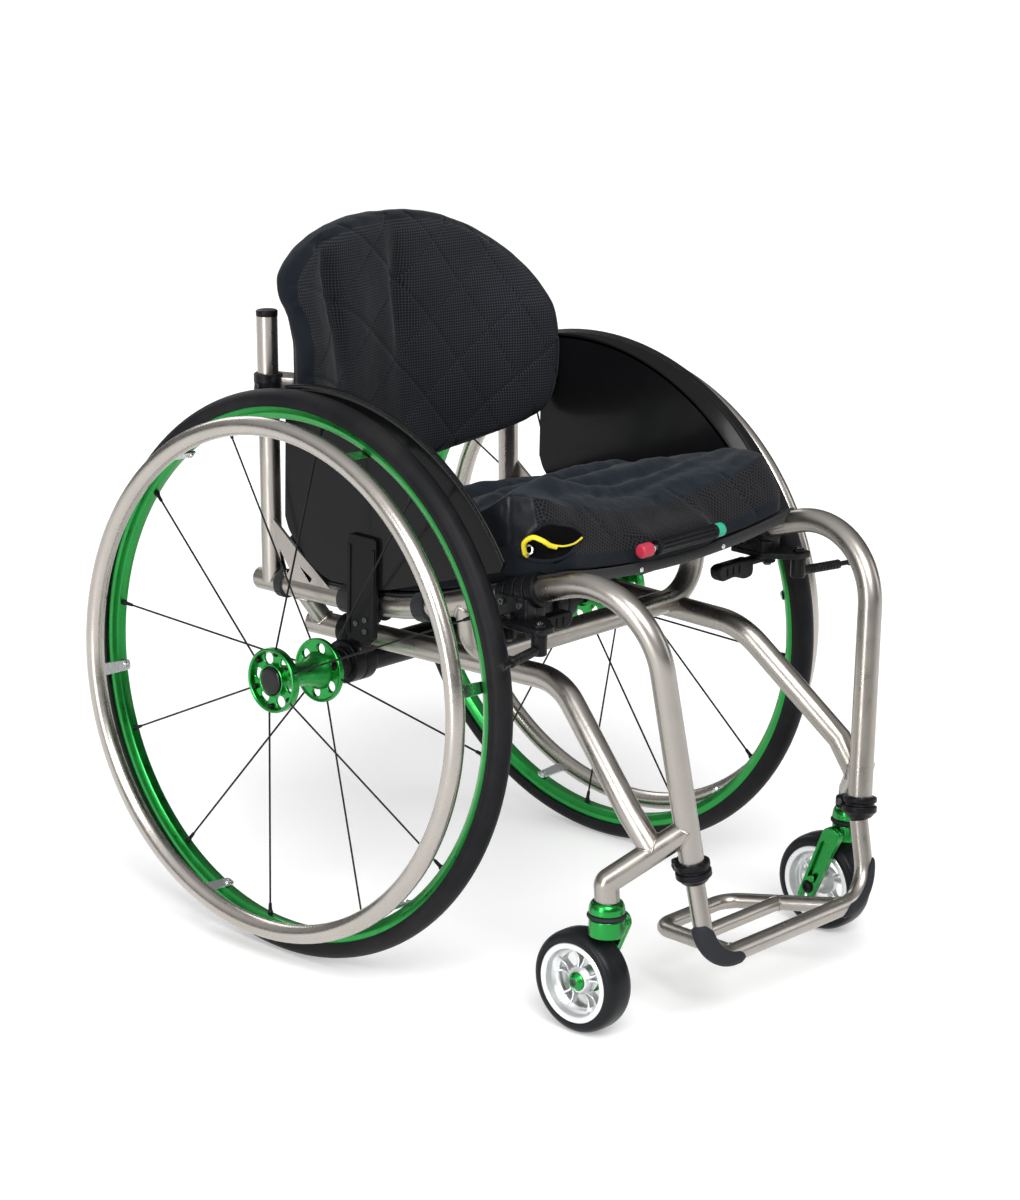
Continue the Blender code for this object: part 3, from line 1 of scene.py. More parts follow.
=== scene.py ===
"""The look of the rigid wheelchair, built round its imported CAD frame.

Metres, +Z up. The chair faces -Y and its left side is +X. Shapes are written round the point on the
floor below the middle of the rear axle, as in the part's own source, and moved into the frame last.
"""
import math

import bmesh
import bpy
from mathutils import Matrix, Quaternion, Vector, noise
from mathutils.bvhtree import BVHTree


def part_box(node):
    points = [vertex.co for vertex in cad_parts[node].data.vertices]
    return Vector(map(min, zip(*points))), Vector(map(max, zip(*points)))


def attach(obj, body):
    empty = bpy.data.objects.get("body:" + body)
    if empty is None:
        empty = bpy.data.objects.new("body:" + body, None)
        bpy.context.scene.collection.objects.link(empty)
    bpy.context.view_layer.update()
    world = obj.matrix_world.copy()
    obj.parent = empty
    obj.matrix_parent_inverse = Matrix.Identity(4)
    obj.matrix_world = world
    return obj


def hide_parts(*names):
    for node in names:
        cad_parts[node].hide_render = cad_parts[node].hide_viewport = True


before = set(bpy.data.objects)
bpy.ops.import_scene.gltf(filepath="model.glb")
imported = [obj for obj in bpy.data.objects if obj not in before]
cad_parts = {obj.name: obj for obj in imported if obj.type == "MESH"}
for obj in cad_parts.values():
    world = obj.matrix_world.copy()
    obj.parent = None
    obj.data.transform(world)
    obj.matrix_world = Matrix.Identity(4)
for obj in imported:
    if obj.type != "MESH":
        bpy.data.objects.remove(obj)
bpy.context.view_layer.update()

SHIFT = (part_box("left_tyre")[0].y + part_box("left_tyre")[1].y) / 2
FLIP = Matrix.Diagonal((-1.0, 1.0, 1.0, 1.0))
UP = Vector((0.0, 0.0, 1.0))

# Driving sizes, as in the part
TOUCH = 0.0003
RAIL_RADIUS = 0.0125
RAIL_X = 0.1815
WHEEL_X = 0.2415
WHEEL_RADIUS = 0.295
TYRE_RADIUS = 0.0125
CAMBER = math.radians(2.7)
AXLE_Z = (WHEEL_RADIUS - TYRE_RADIUS) * math.cos(CAMBER) + TYRE_RADIUS
RIM_RADIUS = 0.2785
RIM_DEPTH = 0.014
RIM_WIDTH = 0.019
HANDRIM_RADIUS = 0.2613
HANDRIM_TUBE = 0.00975
HANDRIM_STANDOFF = 0.0414
FIRST_SPOKE = math.radians(25.0)
FIRST_TAB = math.radians(10.0)
FLANGE_RADIUS = 0.0335
FLANGE_OUT = 0.036
FLANGE_IN = 0.037
CAMBER_TUBE_RADIUS = 0.017
CASTER_RADIUS = 0.0527
CASTER_HALF_WIDTH = 0.0172
CASTER_HUB_RADIUS = 0.0413
FRONT_END_Z = 0.163
CROWN_BOTTOM = 2 * CASTER_RADIUS + 0.0016
CROWN_TOP = CROWN_BOTTOM + 0.0183
SEAL_Z = CROWN_TOP + TOUCH + 0.0022
HOUSING_BOTTOM = SEAL_Z + 0.0022 + TOUCH
HOUSING_TOP = HOUSING_BOTTOM + 0.0124
STEM = Vector((RAIL_X + 0.016, -0.388, 0.0))
CASTER = Vector((STEM.x, STEM.y + 0.028, CASTER_RADIUS))
LOCK_PIVOT_X = RAIL_X + 0.0245
GUARD_INNER = RAIL_X + RAIL_RADIUS + 0.0025
GUARD_OUTER = GUARD_INNER + 0.0025

# Fineness and small sizes of the drawn shapes
FILLET_STEP = math.radians(5.0)
LEAST_RADIUS = 0.00002
BEAD_PITCH = 0.0017
ELBOW_SIDES = 48
HULL_STEPS = 14
BAND_STEPS = 64


# Meshes

def fillet_path(corners, radii):
    """Straight runs between the corners, with each inner corner rounded to its radius."""
    corners = [Vector(corner) for corner in corners]
    path = [corners[0]]
    for before, corner, after, radius in zip(corners, corners[1:], corners[2:], radii):
        into = (corner - before).normalized()
        out = (after - corner).normalized()
        angle = into.angle(out)
        if radius == 0:
            path.append(corner)
            continue
        side = (out - into * into.dot(out)).normalized()
        start = corner - into * radius * math.tan(angle / 2)
        steps = max(1, math.ceil(angle / FILLET_STEP))
        for i in range(steps + 1):
            turn = angle * i / steps
            path.append(start + side * radius * (1 - math.cos(turn)) + into * radius * math.sin(turn))
    path.append(corners[-1])
    return path


def at_y(path, y):
    """Where a path crosses y, and its direction there."""
    for a, b in zip(path, path[1:]):
        if min(a.y, b.y) <= y <= max(a.y, b.y):
            return a.lerp(b, (y - a.y) / (b.y - a.y)), (b - a).normalized()


def smooth_line(points, steps=6, closed=False):
    """A curve through the points."""
    points = [Vector(point) for point in points]
    count = len(points)
    line = []
    for i in range(count if closed else count - 1):
        p0 = points[(i - 1) % count] if closed or i > 0 else points[0]
        p1 = points[i]
        p2 = points[(i + 1) % count]
        p3 = points[(i + 2) % count] if closed or i < count - 2 else points[-1]
        for k in range(steps):
            t = k / steps
            line.append((2 * p1 + (p2 - p0) * t + (2 * p0 - 5 * p1 + 4 * p2 - p3) * t ** 2
                         + (3 * p1 - p0 - 3 * p2 + p3) * t ** 3) / 2)
    if not closed:
        line.append(points[-1])
    return line


def rounded(points, radius, steps=3, closed=False):
    """A 2-D outline with its corners rounded, as far as its short sides allow."""
    points = [Vector(point) for point in points]
    count = len(points)
    line = []
    for i, corner in enumerate(points):
        if not closed and i in (0, count - 1):
            line.append(corner)
            continue
        before, after = points[i - 1], points[(i + 1) % count]
        into, out = corner - before, after - corner
        reach = min(radius, into.length * 0.45, out.length * 0.45)
        a = corner - into.normalized() * reach
        b = corner + out.normalized() * reach
        for k in range(steps + 1):
            t = k / steps
            line.append(a.lerp(corner, t).lerp(corner.lerp(b, t), t))
    return line


def turns(count):
    """The angles of an even division of the full turn."""
    return [math.tau * i / count for i in range(count)]


def circle(radius, sides, centre=(0.0, 0.0)):
    return [(centre[0] + radius * math.cos(turn), centre[1] + radius * math.sin(turn))
            for turn in turns(sides)]


def skin(rings, wrap_rings=False, wrap_around=True, cap=True):
    """A mesh over rows of points. UVs are metres: U along the rows of rings, V around them."""
    bm = bmesh.new()
    layer = bm.loops.layers.uv.new("UVMap")
    grid = [[bm.verts.new(point) for point in ring] for ring in rings]
    rows, columns = len(grid), len(grid[0])
    along = [0.0]
    for i in range(rows):
        along.append(along[-1] + (Vector(rings[(i + 1) % rows][0]) - Vector(rings[i][0])).length)
    middle = rings[rows // 2]
    around = [0.0]
    for j in range(columns):
        around.append(around[-1] + (Vector(middle[(j + 1) % columns]) - Vector(middle[j])).length)
    for i in range(rows if wrap_rings else rows - 1):
        for j in range(columns if wrap_around else columns - 1):
            k, m = (i + 1) % rows, (j + 1) % columns
            corners = [grid[i][j], grid[i][m], grid[k][m], grid[k][j]]
            places = [(i, j), (i, j + 1), (i + 1, j + 1), (i + 1, j)]
            face = bm.faces.new(corners)
            for loop, (a, b) in zip(face.loops, places):
                loop[layer].uv = (along[a], around[b])
    if cap and not wrap_rings:
        for row in (0, rows - 1):
            face = bm.faces.new(grid[row])
            for loop in face.loops:
                loop[layer].uv = (loop.vert.co.x, loop.vert.co.y)
    bmesh.ops.remove_doubles(bm, verts=bm.verts, dist=1e-7)
    bmesh.ops.recalc_face_normals(bm, faces=bm.faces)
    mesh = bpy.data.meshes.new("form")
    bm.to_mesh(mesh)
    bm.free()
    return mesh


def frames_along(path, up=UP):
    """Across and above directions carried along a path, with the mitre direction at each point."""
    along = (path[1] - path[0]).normalized()
    if abs(along.dot(up)) > 0.99:
        up = Vector((0.0, 1.0, 0.0))
    above = (up - along * up.dot(along)).normalized()
    across = along.cross(above)
    made = []
    for i in range(len(path)):
        onward = (path[min(i + 1, len(path) - 1)] - path[min(i, len(path) - 2)]).normalized()
        made.append((along.copy(), (along + onward).normalized(), across.copy(), above.copy()))
        turn = along.rotation_difference(onward)
        across.rotate(turn)
        above.rotate(turn)
        along = onward
    return made


def sweep(path, profile, up=UP, scales=None):
    """A profile of (across, above) points carried along a path, with mitred corners."""
    path = [Vector(point) for point in path]
    rings = []
    for i, (along, plane, across, above) in enumerate(frames_along(path, up)):
        scale = scales[i] if scales else 1.0
        ring = []
        for a, b in profile:
            offset = (across * a + above * b) * scale
            ring.append(path[i] + offset - along * (offset.dot(plane) / along.dot(plane)))
        rings.append(ring)
    return skin(rings)


def tube(path, radius, sides=40, ease=0.0007):
    """A round bar with eased ends."""
    path = [Vector(point) for point in path]
    scales = [1.0] * len(path)
    if ease:
        first = (path[1] - path[0]).normalized() * ease
        last = (path[-1] - path[-2]).normalized() * ease
        path = [path[0], path[0] + first] + path[1:-1] + [path[-1] - last, path[-1]]
        scales = [1 - ease / radius] + scales + [1 - ease / radius]
    return sweep(path, circle(radius, sides), scales=scales)


def turned(profile, steps=96, place=Matrix(), closed=None):
    """A profile of (along X, radius) points turned about X."""
    closed = profile[0][1] > 0 if closed is None else closed
    profile = [(x, max(r, LEAST_RADIUS)) for x, r in profile]
    rings = [[place @ Vector((x, r * math.cos(turn), r * math.sin(turn))) for x, r in profile]
             for turn in turns(steps)]
    return skin(rings, wrap_rings=True, wrap_around=closed, cap=False)


def spun(profile, ease, steps, place, ease_steps=3):
    """A profile that ends on the axis, its corners rounded, turned about X."""
    return turned(rounded(profile, ease, ease_steps), steps, place, closed=False)


def plate(outlines, low, high, ease=0.0006, place=Matrix(), steps=3):
    """A flat piece with holes and eased edges. Its outlines lie in X and Y, its thickness in Z."""
    curve = bpy.data.curves.new("form", "CURVE")
    curve.dimensions = "2D"
    curve.fill_mode = "BOTH"
    ease = min(ease, (high - low) * 0.49)
    curve.extrude = (high - low) / 2 - ease
    curve.bevel_depth = ease
    curve.bevel_resolution = steps
    curve.offset = -ease
    for outline in outlines:
        spline = curve.splines.new("POLY")
        spline.points.add(len(outline) - 1)
        for point, corner in zip(spline.points, outline):
            point.co = (corner[0], corner[1], 0.0, 1.0)
        spline.use_cyclic_u = True
    obj = bpy.data.objects.new("form", curve)
    bpy.context.scene.collection.objects.link(obj)
    graph = bpy.context.evaluated_depsgraph_get()
    mesh = bpy.data.meshes.new_from_object(obj.evaluated_get(graph))
    bpy.data.objects.remove(obj, do_unlink=True)
    bpy.data.curves.remove(curve)
    mesh.transform(place @ Matrix.Translation((0.0, 0.0, (low + high) / 2)))
    return mesh


def facing(axis):
    """The matrix that turns a plate's X, Y and thickness onto two world axes and the given one."""
    rows = {"X": ((0, 0, 1), (1, 0, 0), (0, 1, 0)), "Y": ((1, 0, 0), (0, 0, -1), (0, 1, 0))}[axis]
    return Matrix(rows).to_4x4()


def box(low, high, ease=0.001):
    """A block with eased edges between two corners."""
    outline = [(low[0], low[1]), (high[0], low[1]), (high[0], high[1]), (low[0], high[1])]
    return plate([rounded(outline, ease * 1.5, 3, True)], low[2], high[2], ease)


def looking(start, toward):
    """A matrix whose +X runs from start toward a point."""
    along = (Vector(toward) - Vector(start)).normalized()
    side = UP if abs(along.z) < 0.9 else Vector((0.0, 1.0, 0.0))
    across = side.cross(along).normalized()
    above = along.cross(across)
    return Matrix.Translation(Vector(start)) @ Matrix((along, across, above)).transposed().to_4x4()


def merged(*meshes):
    """One mesh of several, which are used up."""
    bm = bmesh.new()
    for mesh in meshes:
        bm.from_mesh(mesh)
        bpy.data.meshes.remove(mesh)
    mesh = bpy.data.meshes.new("form")
    bm.to_mesh(mesh)
    bm.free()
    return mesh


def weld(start, along, radius, other, other_along, other_radius, size=0.0019):
    """The bead where a tube that runs along from start meets another tube."""
    start, along = Vector(start), Vector(along).normalized()
    other, other_along = Vector(other), Vector(other_along).normalized()
    u = along.orthogonal().normalized()
    v = along.cross(u)
    across = along - other_along * along.dot(other_along)
    points, outs = [], []
    for turn in turns(72):
        out = u * math.cos(turn) + v * math.sin(turn)
        from_axis = start + out * radius - other
        from_axis -= other_along * from_axis.dot(other_along)
        a, b = across.length_squared, 2 * from_axis.dot(across)
        c = from_axis.length_squared - other_radius ** 2
        root = max(b * b - 4 * a * c, 0.0)
        reach = (-b - math.sqrt(root)) / (2 * a)
        points.append(start + out * radius + along * reach)
        outs.append(out)
    return bead(points, outs, size)


def bead(points, outs, size):
    """A rippled weld bead along a closed line, with each point's outward direction."""
    rings, count = [], len(points)
    run = 0.0
    for i, (point, out) in enumerate(zip(points, outs)):
        tangent = (points[(i + 1) % count] - points[i - 1]).normalized()
        side = tangent.cross(out).normalized()
        run += (point - points[i - 1]).length
        fat = size * (1 + 0.1 * math.sin(math.tau * run / BEAD_PITCH))
        rings.append([point + (out * math.cos(a) + side * math.sin(a)) * fat for a in turns(10)])
    return skin(rings, wrap_rings=True)


def bolt(centre, outward, radius=0.004, height=0.003, socket=0.5, washer=0.0):
    """A cap screw with a hexagon socket."""
    place = looking(centre, Vector(centre) + Vector(outward))
    deep = height * 0.6
    inner = radius * socket
    profile = [(0.0, radius), (height, radius), (height, inner), (height - deep, inner * 0.98),
               (height - deep, 0.0)]
    head = spun(profile, radius * 0.14, 24, place, 2)
    if not washer:
        return head
    ring = rounded([(0.0, radius), (0.0, washer), (0.0008, washer), (0.0008, radius)], 0.0002, 2, True)
    return merged(head, turned(ring, 32, place))


# Pieces

def publish(name, mesh, finish, body, nodes=(), bend=34.0):
    """Puts a mesh in the scene as a piece of a body. Edges sharper than bend stay sharp."""
    mesh.name = name
    piece = bpy.data.objects.new(name, mesh)
    bpy.context.scene.collection.objects.link(piece)
    finishes = finish if isinstance(finish, tuple) else (finish,)
    chosen = [min(polygon.material_index, len(finishes) - 1) for polygon in mesh.polygons]
    mesh.materials.clear()
    for each in finishes:
        mesh.materials.append(each)
    mesh.polygons.foreach_set("material_index", chosen)
    mesh.shade_smooth()
    mesh.set_sharp_from_angle(angle=math.radians(bend))
    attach(piece, body)
    if nodes:
        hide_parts(*nodes)
    return piece


def single(name, mesh, finish, nodes=(), body="frame", bend=34.0):
    """A piece that has no mirror image."""
    mesh.transform(Matrix.Translation((0.0, SHIFT, 0.0)))
    return publish(name, mesh, finish, body, nodes, bend)


def pair(name, mesh, finish, nodes=(), body=None, bend=34.0):
    """A left piece and its mirror image. Names of nodes and body are without their side."""
    mesh.transform(Matrix.Translation((0.0, SHIFT, 0.0)))
    twin = mesh.copy()
    twin.transform(FLIP)
    twin.flip_normals()
    made = []
    for side, form in (("left_", mesh), ("right_", twin)):
        home = side + body if body else "frame"
        made.append(publish(side + name, form, finish, home, [side + node for node in nodes], bend))
    return made


# Materials

class Net:
    """A node material: one Principled shader and what feeds it."""

    def __init__(self, name, rough, metal=0.0, **more):
        self.made = bpy.data.materials.new(name)
        self.made.use_nodes = True
        self.tree = self.made.node_tree
        self.shader = self.tree.nodes["Principled BSDF"]
        self.fill(self.shader, {"Roughness": rough, "Metallic": metal})
        self.fill(self.shader, {key.replace("_", " "): value for key, value in more.items()})

    def fill(self, node, values):
        for key, value in values.items():
            if isinstance(value, bpy.types.NodeSocket):
                self.tree.links.new(value, node.inputs[key])
            else:
                node.inputs[key].default_value = value

    def add(self, kind, values=(), out=0, **settings):
        node = self.tree.nodes.new("ShaderNode" + kind)
        for key, value in settings.items():
            setattr(node, key, value)
        self.fill(node, dict(values))
        return node.outputs[out]

    def where(self):
        return self.add("TexCoord", out=3)

    def uv(self):
        return self.add("TexCoord", out=2)

    def parts(self, vector):
        split = self.tree.nodes.new("ShaderNodeSeparateXYZ")
        self.tree.links.new(vector, split.inputs[0])
        return split.outputs

    def stretched(self, vector, scale):
        return self.add("Mapping", {"Vector": vector, "Scale": scale})

    def noise(self, vector, scale, detail=3.0, rough=0.5):
        return self.add("TexNoise", {"Vector": vector, "Scale": scale, "Detail": detail, "Roughness": rough})

    def span(self, value, low, high, to_low=0.0, to_high=1.0):
        values = {0: value, 1: low, 2: high, 3: to_low, 4: to_high}
        return self.add("MapRange", values)

    def math(self, operation, *values):
        return self.add("Math", dict(enumerate(values)), operation=operation)

    def mix(self, share, first, second):
        first = first if isinstance(first, bpy.types.NodeSocket) else (*first, 1.0)
        second = second if isinstance(second, bpy.types.NodeSocket) else (*second, 1.0)
        return self.add("Mix", {0: share, 6: first, 7: second}, out=2, data_type="RGBA")

    def shades(self, share, colour, dark, light):
        return self.mix(share, tinted(colour, dark), tinted(colour, light))

    def bump(self, height, strength, distance=0.0003, normal=None):
        values = {"Height": height, "Strength": strength, "Distance": distance}
        if normal is not None:
            values["Normal"] = normal
        return self.add("Bump", values)

    def feed(self, **sockets):
        self.fill(self.shader, {key.replace("_", " "): value for key, value in sockets.items()})
        return self.made


WORN = (0.3, 0.3, 0.3)
DUST = (0.1, 0.095, 0.088)
LINT = (0.12, 0.13, 0.14)
CELL = (0.0008, 0.0008, 0.001)
KNIT_PITCH = 0.0009
WEB_PITCH = 0.0016


def tinted(colour, by):
    return tuple(min(1.0, c * by) for c in colour)


def coated(name, colour, rough, metal=0.0, shade=0.08, patch=22.0, grain=0.06, grain_scale=1400.0,
           worn=0.0, **more):
    """A plain finish with the small changes of tone, gloss and texture that a real one has."""
    net = Net(name, rough, metal, **more)
    where = net.where()
    cloud = net.noise(where, patch, 4.0)
    tone = net.shades(net.span(cloud, 0.32, 0.68), colour, 1 - shade, 1 + shade)
    gloss = net.span(net.noise(where, patch * 4.0, 5.0), 0.3, 0.7, rough * 0.86, rough * 1.16)
    height = net.noise(where, grain_scale, 2.0)
    if worn:
        edge = net.span(net.add("NewGeometry", out=7), 0.52, 0.6)
        rub = net.math("MULTIPLY", edge, net.span(net.noise(where, 160.0, 4.0), 0.45, 0.65))
        tone = net.mix(net.math("MULTIPLY", rub, worn), tone, WORN)
    return net.feed(Base_Color=tone, Roughness=gloss, Normal=net.bump(height, grain, 0.0002))


def anodised(name, colour, rough):
    """Dyed aluminium: a clear coloured skin over fine turning lines."""
    net = Net(name, rough, 1.0, Coat_Weight=0.35, Coat_Roughness=0.12)
    where = net.where()
    cloud = net.noise(where, 12.0, 3.0)
    tone = net.shades(net.span(cloud, 0.35, 0.65), colour, 0.93, 1.08)
    lines = net.noise(net.stretched(net.uv(), (1800.0, 8.0, 1.0)), 1.0, 2.0)
    fine = net.noise(where, 2200.0, 1.0)
    height = net.math("ADD", lines, fine)
    gloss = net.span(net.noise(where, 90.0, 4.0), 0.3, 0.7, rough * 0.8, rough * 1.25)
    return net.feed(Base_Color=tone, Roughness=gloss, Normal=net.bump(height, 0.035, 0.0002))


def titanium(name, colour, rough, grain):
    """Bead-blasted then lightly brushed titanium, warm grey."""
    net = Net(name, rough, 1.0)
    where = net.where()
    cloud = net.noise(where, 9.0, 5.0, 0.6)
    tone = net.shades(net.span(cloud, 0.3, 0.7), colour, 0.93, 1.06)
    heat = net.span(net.noise(where, 3.5, 2.0), 0.55, 0.75)
    warm = (colour[0] * 1.04, colour[1] * 0.97, colour[2] * 0.88)
    tone = net.mix(net.math("MULTIPLY", heat, 0.22), tone, warm)
    lines = net.noise(net.stretched(net.uv(), (26.0, 1900.0, 1.0)), 1.0, 3.0)
    cross = net.noise(net.stretched(net.uv(), (1500.0, 60.0, 1.0)), 1.0, 2.0)
    fine = net.noise(where, 2600.0, 2.0)
    height = net.math("ADD", net.math("ADD", lines, net.math("MULTIPLY", cross, 0.7)), fine)
    gloss = net.span(net.noise(where, 60.0, 5.0), 0.28, 0.72, rough * 0.82, rough * 1.2)
    return net.feed(Base_Color=tone, Roughness=gloss, Normal=net.bump(height, grain, 0.0002))


def rubber(name, colour, rough, dust):
    """Rubber with a thin film of dust on it."""
    net = Net(name, rough, 0.0, Specular_IOR_Level=0.13)
    where = net.where()
    cloud = net.noise(where, 18.0, 5.0, 0.6)
    marks = net.noise(net.stretched(net.uv(), (40.0, 900.0, 1.0)), 1.0, 4.0)
    film = net.math("MULTIPLY", net.span(cloud, 0.42, 0.75), net.span(marks, 0.35, 0.7, 0.35, 1.0))
    tone = net.mix(net.math("MULTIPLY", film, dust), colour, DUST)
    gloss = net.math("ADD", net.math("MULTIPLY", film, 0.12), rough)
    height = net.math("ADD", net.noise(where, 900.0, 3.0), net.math("MULTIPLY", marks, 0.5))
    return net.feed(Base_Color=tone, Roughness=gloss, Normal=net.bump(height, 0.1, 0.0002))


def knit(name, colour):
    """A smooth two-way stretch knit with a soft sheen."""
    net = Net(name, 0.82, 0.0, Sheen_Weight=0.1, Sheen_Roughness=0.45, Specular_IOR_Level=0.12)
    where = net.where()
    wave = math.tau / KNIT_PITCH
    place = net.parts(net.uv())
    across = net.math("SINE", net.math("MULTIPLY", place[0], wave))
    along = net.math("SINE", net.math("MULTIPLY", place[1], wave * 0.62))
    rows = net.math("ADD", net.math("ABSOLUTE", along), 0.4)
    loops = net.math("MULTIPLY", net.math("ABSOLUTE", across), rows)
    rub = net.noise(where, 14.0, 5.0, 0.6)
    tone = net.shades(net.span(rub, 0.35, 0.7), colour, 0.86, 1.16)
    tone = net.mix(net.math("MULTIPLY", loops, 0.22), tinted(colour, 0.6), tone)
    lint = net.span(net.noise(where, 420.0, 2.0), 0.7, 0.78)
    tone = net.mix(net.math("MULTIPLY", lint, 0.1), tone, LINT)
    wrinkle = net.noise(net.stretched(where, (1.0, 2.2, 1.0)), 26.0, 4.0)
    coarse = net.bump(wrinkle, 0.35, 0.0035)
    return net.feed(Base_Color=tone, Normal=net.bump(loops, 0.3, 0.0003, coarse))


def spacer_mesh(name, colour, pitch=0.003, uv_turn=0.0):
    """Knitted spacer mesh: a soft cloth with a regular grid of small open cells."""
    net = Net(name, 0.88, 0.0, Sheen_Weight=0.08, Sheen_Roughness=0.5, Specular_IOR_Level=0.15)
    where = net.where()
    place = net.parts(net.add("Mapping", {"Vector": net.uv(), "Rotation": (0.0, 0.0, uv_turn)}))
    a, b = (net.math("SINE", net.math("MULTIPLY", part, math.pi / pitch)) for part in place[:2])
    opening = net.span(net.math("ABSOLUTE", net.math("MULTIPLY", a, b)), 0.3, 0.6)
    rub = net.noise(where, 11.0, 5.0, 0.6)
    tone = net.mix(opening, net.shades(net.span(rub, 0.35, 0.7), colour, 0.85, 1.18), CELL)
    yarn = net.noise(where, 1500.0, 2.0)
    height = net.math("SUBTRACT", net.math("MULTIPLY", yarn, 0.35), net.math("MULTIPLY", opening, 0.55))
    wrinkle = net.bump(net.noise(where, 22.0, 3.0), 0.18, 0.003)
    return net.feed(Base_Color=tone, Normal=net.bump(height, 0.45, 0.0006, wrinkle))


def webbing(name, colour):
    """A strap's diagonal weave."""
    net = Net(name, 0.72, 0.0, Sheen_Weight=0.15, Specular_IOR_Level=0.3)
    place = net.parts(net.uv())
    a, b = (net.math("SINE", net.math("MULTIPLY", net.math(way, place[0], place[1]), math.tau / WEB_PITCH))
            for way in ("ADD", "SUBTRACT"))
    weave = net.math("MAXIMUM", a, b)
    tone = net.shades(net.span(weave, -0.2, 1.0), colour, 0.7, 1.25)
    return net.feed(Base_Color=tone, Normal=net.bump(weave, 0.3, 0.0004))


TITANIUM = titanium("brushed_titanium", (0.385, 0.36, 0.33), 0.3, 0.045)
SATIN = titanium("satin_titanium", (0.455, 0.425, 0.392), 0.27, 0.03)
GREEN = anodised("green_anodised", (0.016, 0.285, 0.048), 0.29)
GREEN_RIM = anodised("green_anodised_rim", (0.018, 0.3, 0.052), 0.32)
BLACK_METAL = coated("black_anodised", (0.0048, 0.005, 0.006), 0.34, 0.0, worn=0.1, grain=0.08,
                     Specular_IOR_Level=0.15)
BLACK_SPOKE = coated("black_spoke", (0.006, 0.006, 0.007), 0.36, 0.0, grain=0.05, Specular_IOR_Level=0.15)
PLASTIC = coated("black_plastic", (0.0045, 0.0045, 0.0054), 0.38, grain=0.1, grain_scale=1100.0,
                 Specular_IOR_Level=0.13)
GLOSS = coated("gloss_black_panel", (0.0055, 0.0055, 0.0062), 0.22, patch=10.0, grain=0.03,
               Specular_IOR_Level=0.12, Coat_Weight=0.06, Coat_Roughness=0.08)
CAP = coated("gloss_black_cap", (0.004, 0.004, 0.0048), 0.14, grain=0.01, Specular_IOR_Level=0.3)
TYRE = rubber("black_tyre", (0.0065, 0.0068, 0.0082), 0.5, dust=0.16)
BUMPER = rubber("rubber_bumper", (0.02, 0.022, 0.027), 0.62, dust=0.15)
SOFT_TYRE = rubber("soft_black_tyre", (0.01, 0.011, 0.013), 0.3, dust=0.08)
POLISHED = coated("polished_aluminium", (0.74, 0.75, 0.76), 0.36, 1.0, shade=0.03, grain=0.02)
LIP = coated("bright_lip", (0.84, 0.84, 0.85), 0.3, 0.55, shade=0.015, grain=0.02)
STEEL = coated("zinc_steel", (0.62, 0.63, 0.64), 0.26, 1.0, shade=0.05, grain=0.05)
DARK_STEEL = coated("dark_steel", (0.09, 0.09, 0.095), 0.35, 0.9, shade=0.1, grain=0.06)
RED = coated("red_knob", (0.5, 0.028, 0.06), 0.42, grain=0.1, grain_scale=1200.0)
TEAL = coated("green_knob", (0.02, 0.42, 0.24), 0.4, grain=0.1, grain_scale=1200.0)
YELLOW = coated("yellow_hose", (0.82, 0.66, 0.02), 0.38)
KNIT = knit("dark_stretch_cover", (0.0095, 0.0165, 0.0265))
KNIT_SIDE = knit("dark_stretch_border", (0.0075, 0.0115, 0.0175))
NET_CLOTH = spacer_mesh("black_spacer_mesh", (0.0235, 0.0255, 0.032))
SIDE_MESH = spacer_mesh("border_mesh", (0.0175, 0.0175, 0.02), pitch=0.0034, uv_turn=0.6)
WEB = webbing("black_webbing", (0.0085, 0.009, 0.0105))
SLING = coated("coated_sling_cloth", (0.008, 0.0083, 0.0095), 0.66, grain=0.22, grain_scale=1500.0)
SHINY = coated("coated_black_cloth", (0.011, 0.012, 0.015), 0.33, patch=40.0, grain=0.25, grain_scale=900.0)
# Painted shade: a very dark, nearly unreflecting cloth for the sheet across the pocket's mouth, standing in for
# the shade inside the pocket
POCKET_SHADE_CLOTH = coated("pocket_shade_sheet", (0.0022, 0.0022, 0.0026), 0.8, grain=0.25, grain_scale=900.0,
                    Specular_IOR_Level=0.05)
SHELL = coated("moulded_shell", (0.0085, 0.009, 0.0105), 0.46, grain=0.22, grain_scale=700.0, patch=12.0)


# Frame centre lines, as in the part

def front_at(z):
    drop = 0.4747 - z
    return Vector((RAIL_X - 0.1514 * drop, -0.4116 - 0.1076 * drop, z))


RAIL = fillet_path([(RAIL_X, 0.1125, AXLE_Z + 0.0708), (RAIL_X, -0.0962, AXLE_Z + 0.0764),
                    (RAIL_X, -0.4116, 0.4747), front_at(FRONT_END_Z)], [0.467, 0.0822])
MITRE = Vector((STEM.x, STEM.y, HOUSING_TOP + TOUCH + 0.018))
ARM_ROOT = front_at(MITRE.z + 0.054)
LOWER_Z = AXLE_Z + CAMBER_TUBE_RADIUS + RAIL_RADIUS + 0.0018
LOWER = fillet_path([(RAIL_X - 0.019, 0.055, LOWER_Z), (RAIL_X - 0.0381, -0.274, LOWER_Z + 0.0033),
                     (RAIL_X - 0.0123, -0.3906, MITRE.z + 0.064), ARM_ROOT.lerp(MITRE, 0.42)], [0.0685, 0.0])
CROSS_TOP = at_y(RAIL, -0.18)[0]
CROSS_LOW = Vector((RAIL_X - 0.0135, -0.18, at_y(LOWER, -0.18)[0].z + 0.0085))
CANE_FOOT = Vector((RAIL_X + 0.003, 0.0925, at_y(RAIL, 0.0925)[0].z))
CANE_TOP = CANE_FOOT + Vector((0.0, 0.01, 0.284))
LEG_END = front_at(FRONT_END_Z)
LEG_ALONG = (front_at(FRONT_END_Z) - front_at(FRONT_END_Z + 0.1)).normalized()
LEG_TOP = LEG_END + LEG_ALONG * (RAIL_RADIUS * 0.1514 + 0.002)
LEG_CORNER = Vector((LEG_END.x - 0.0043, LEG_END.y - 0.0183, 0.0797))
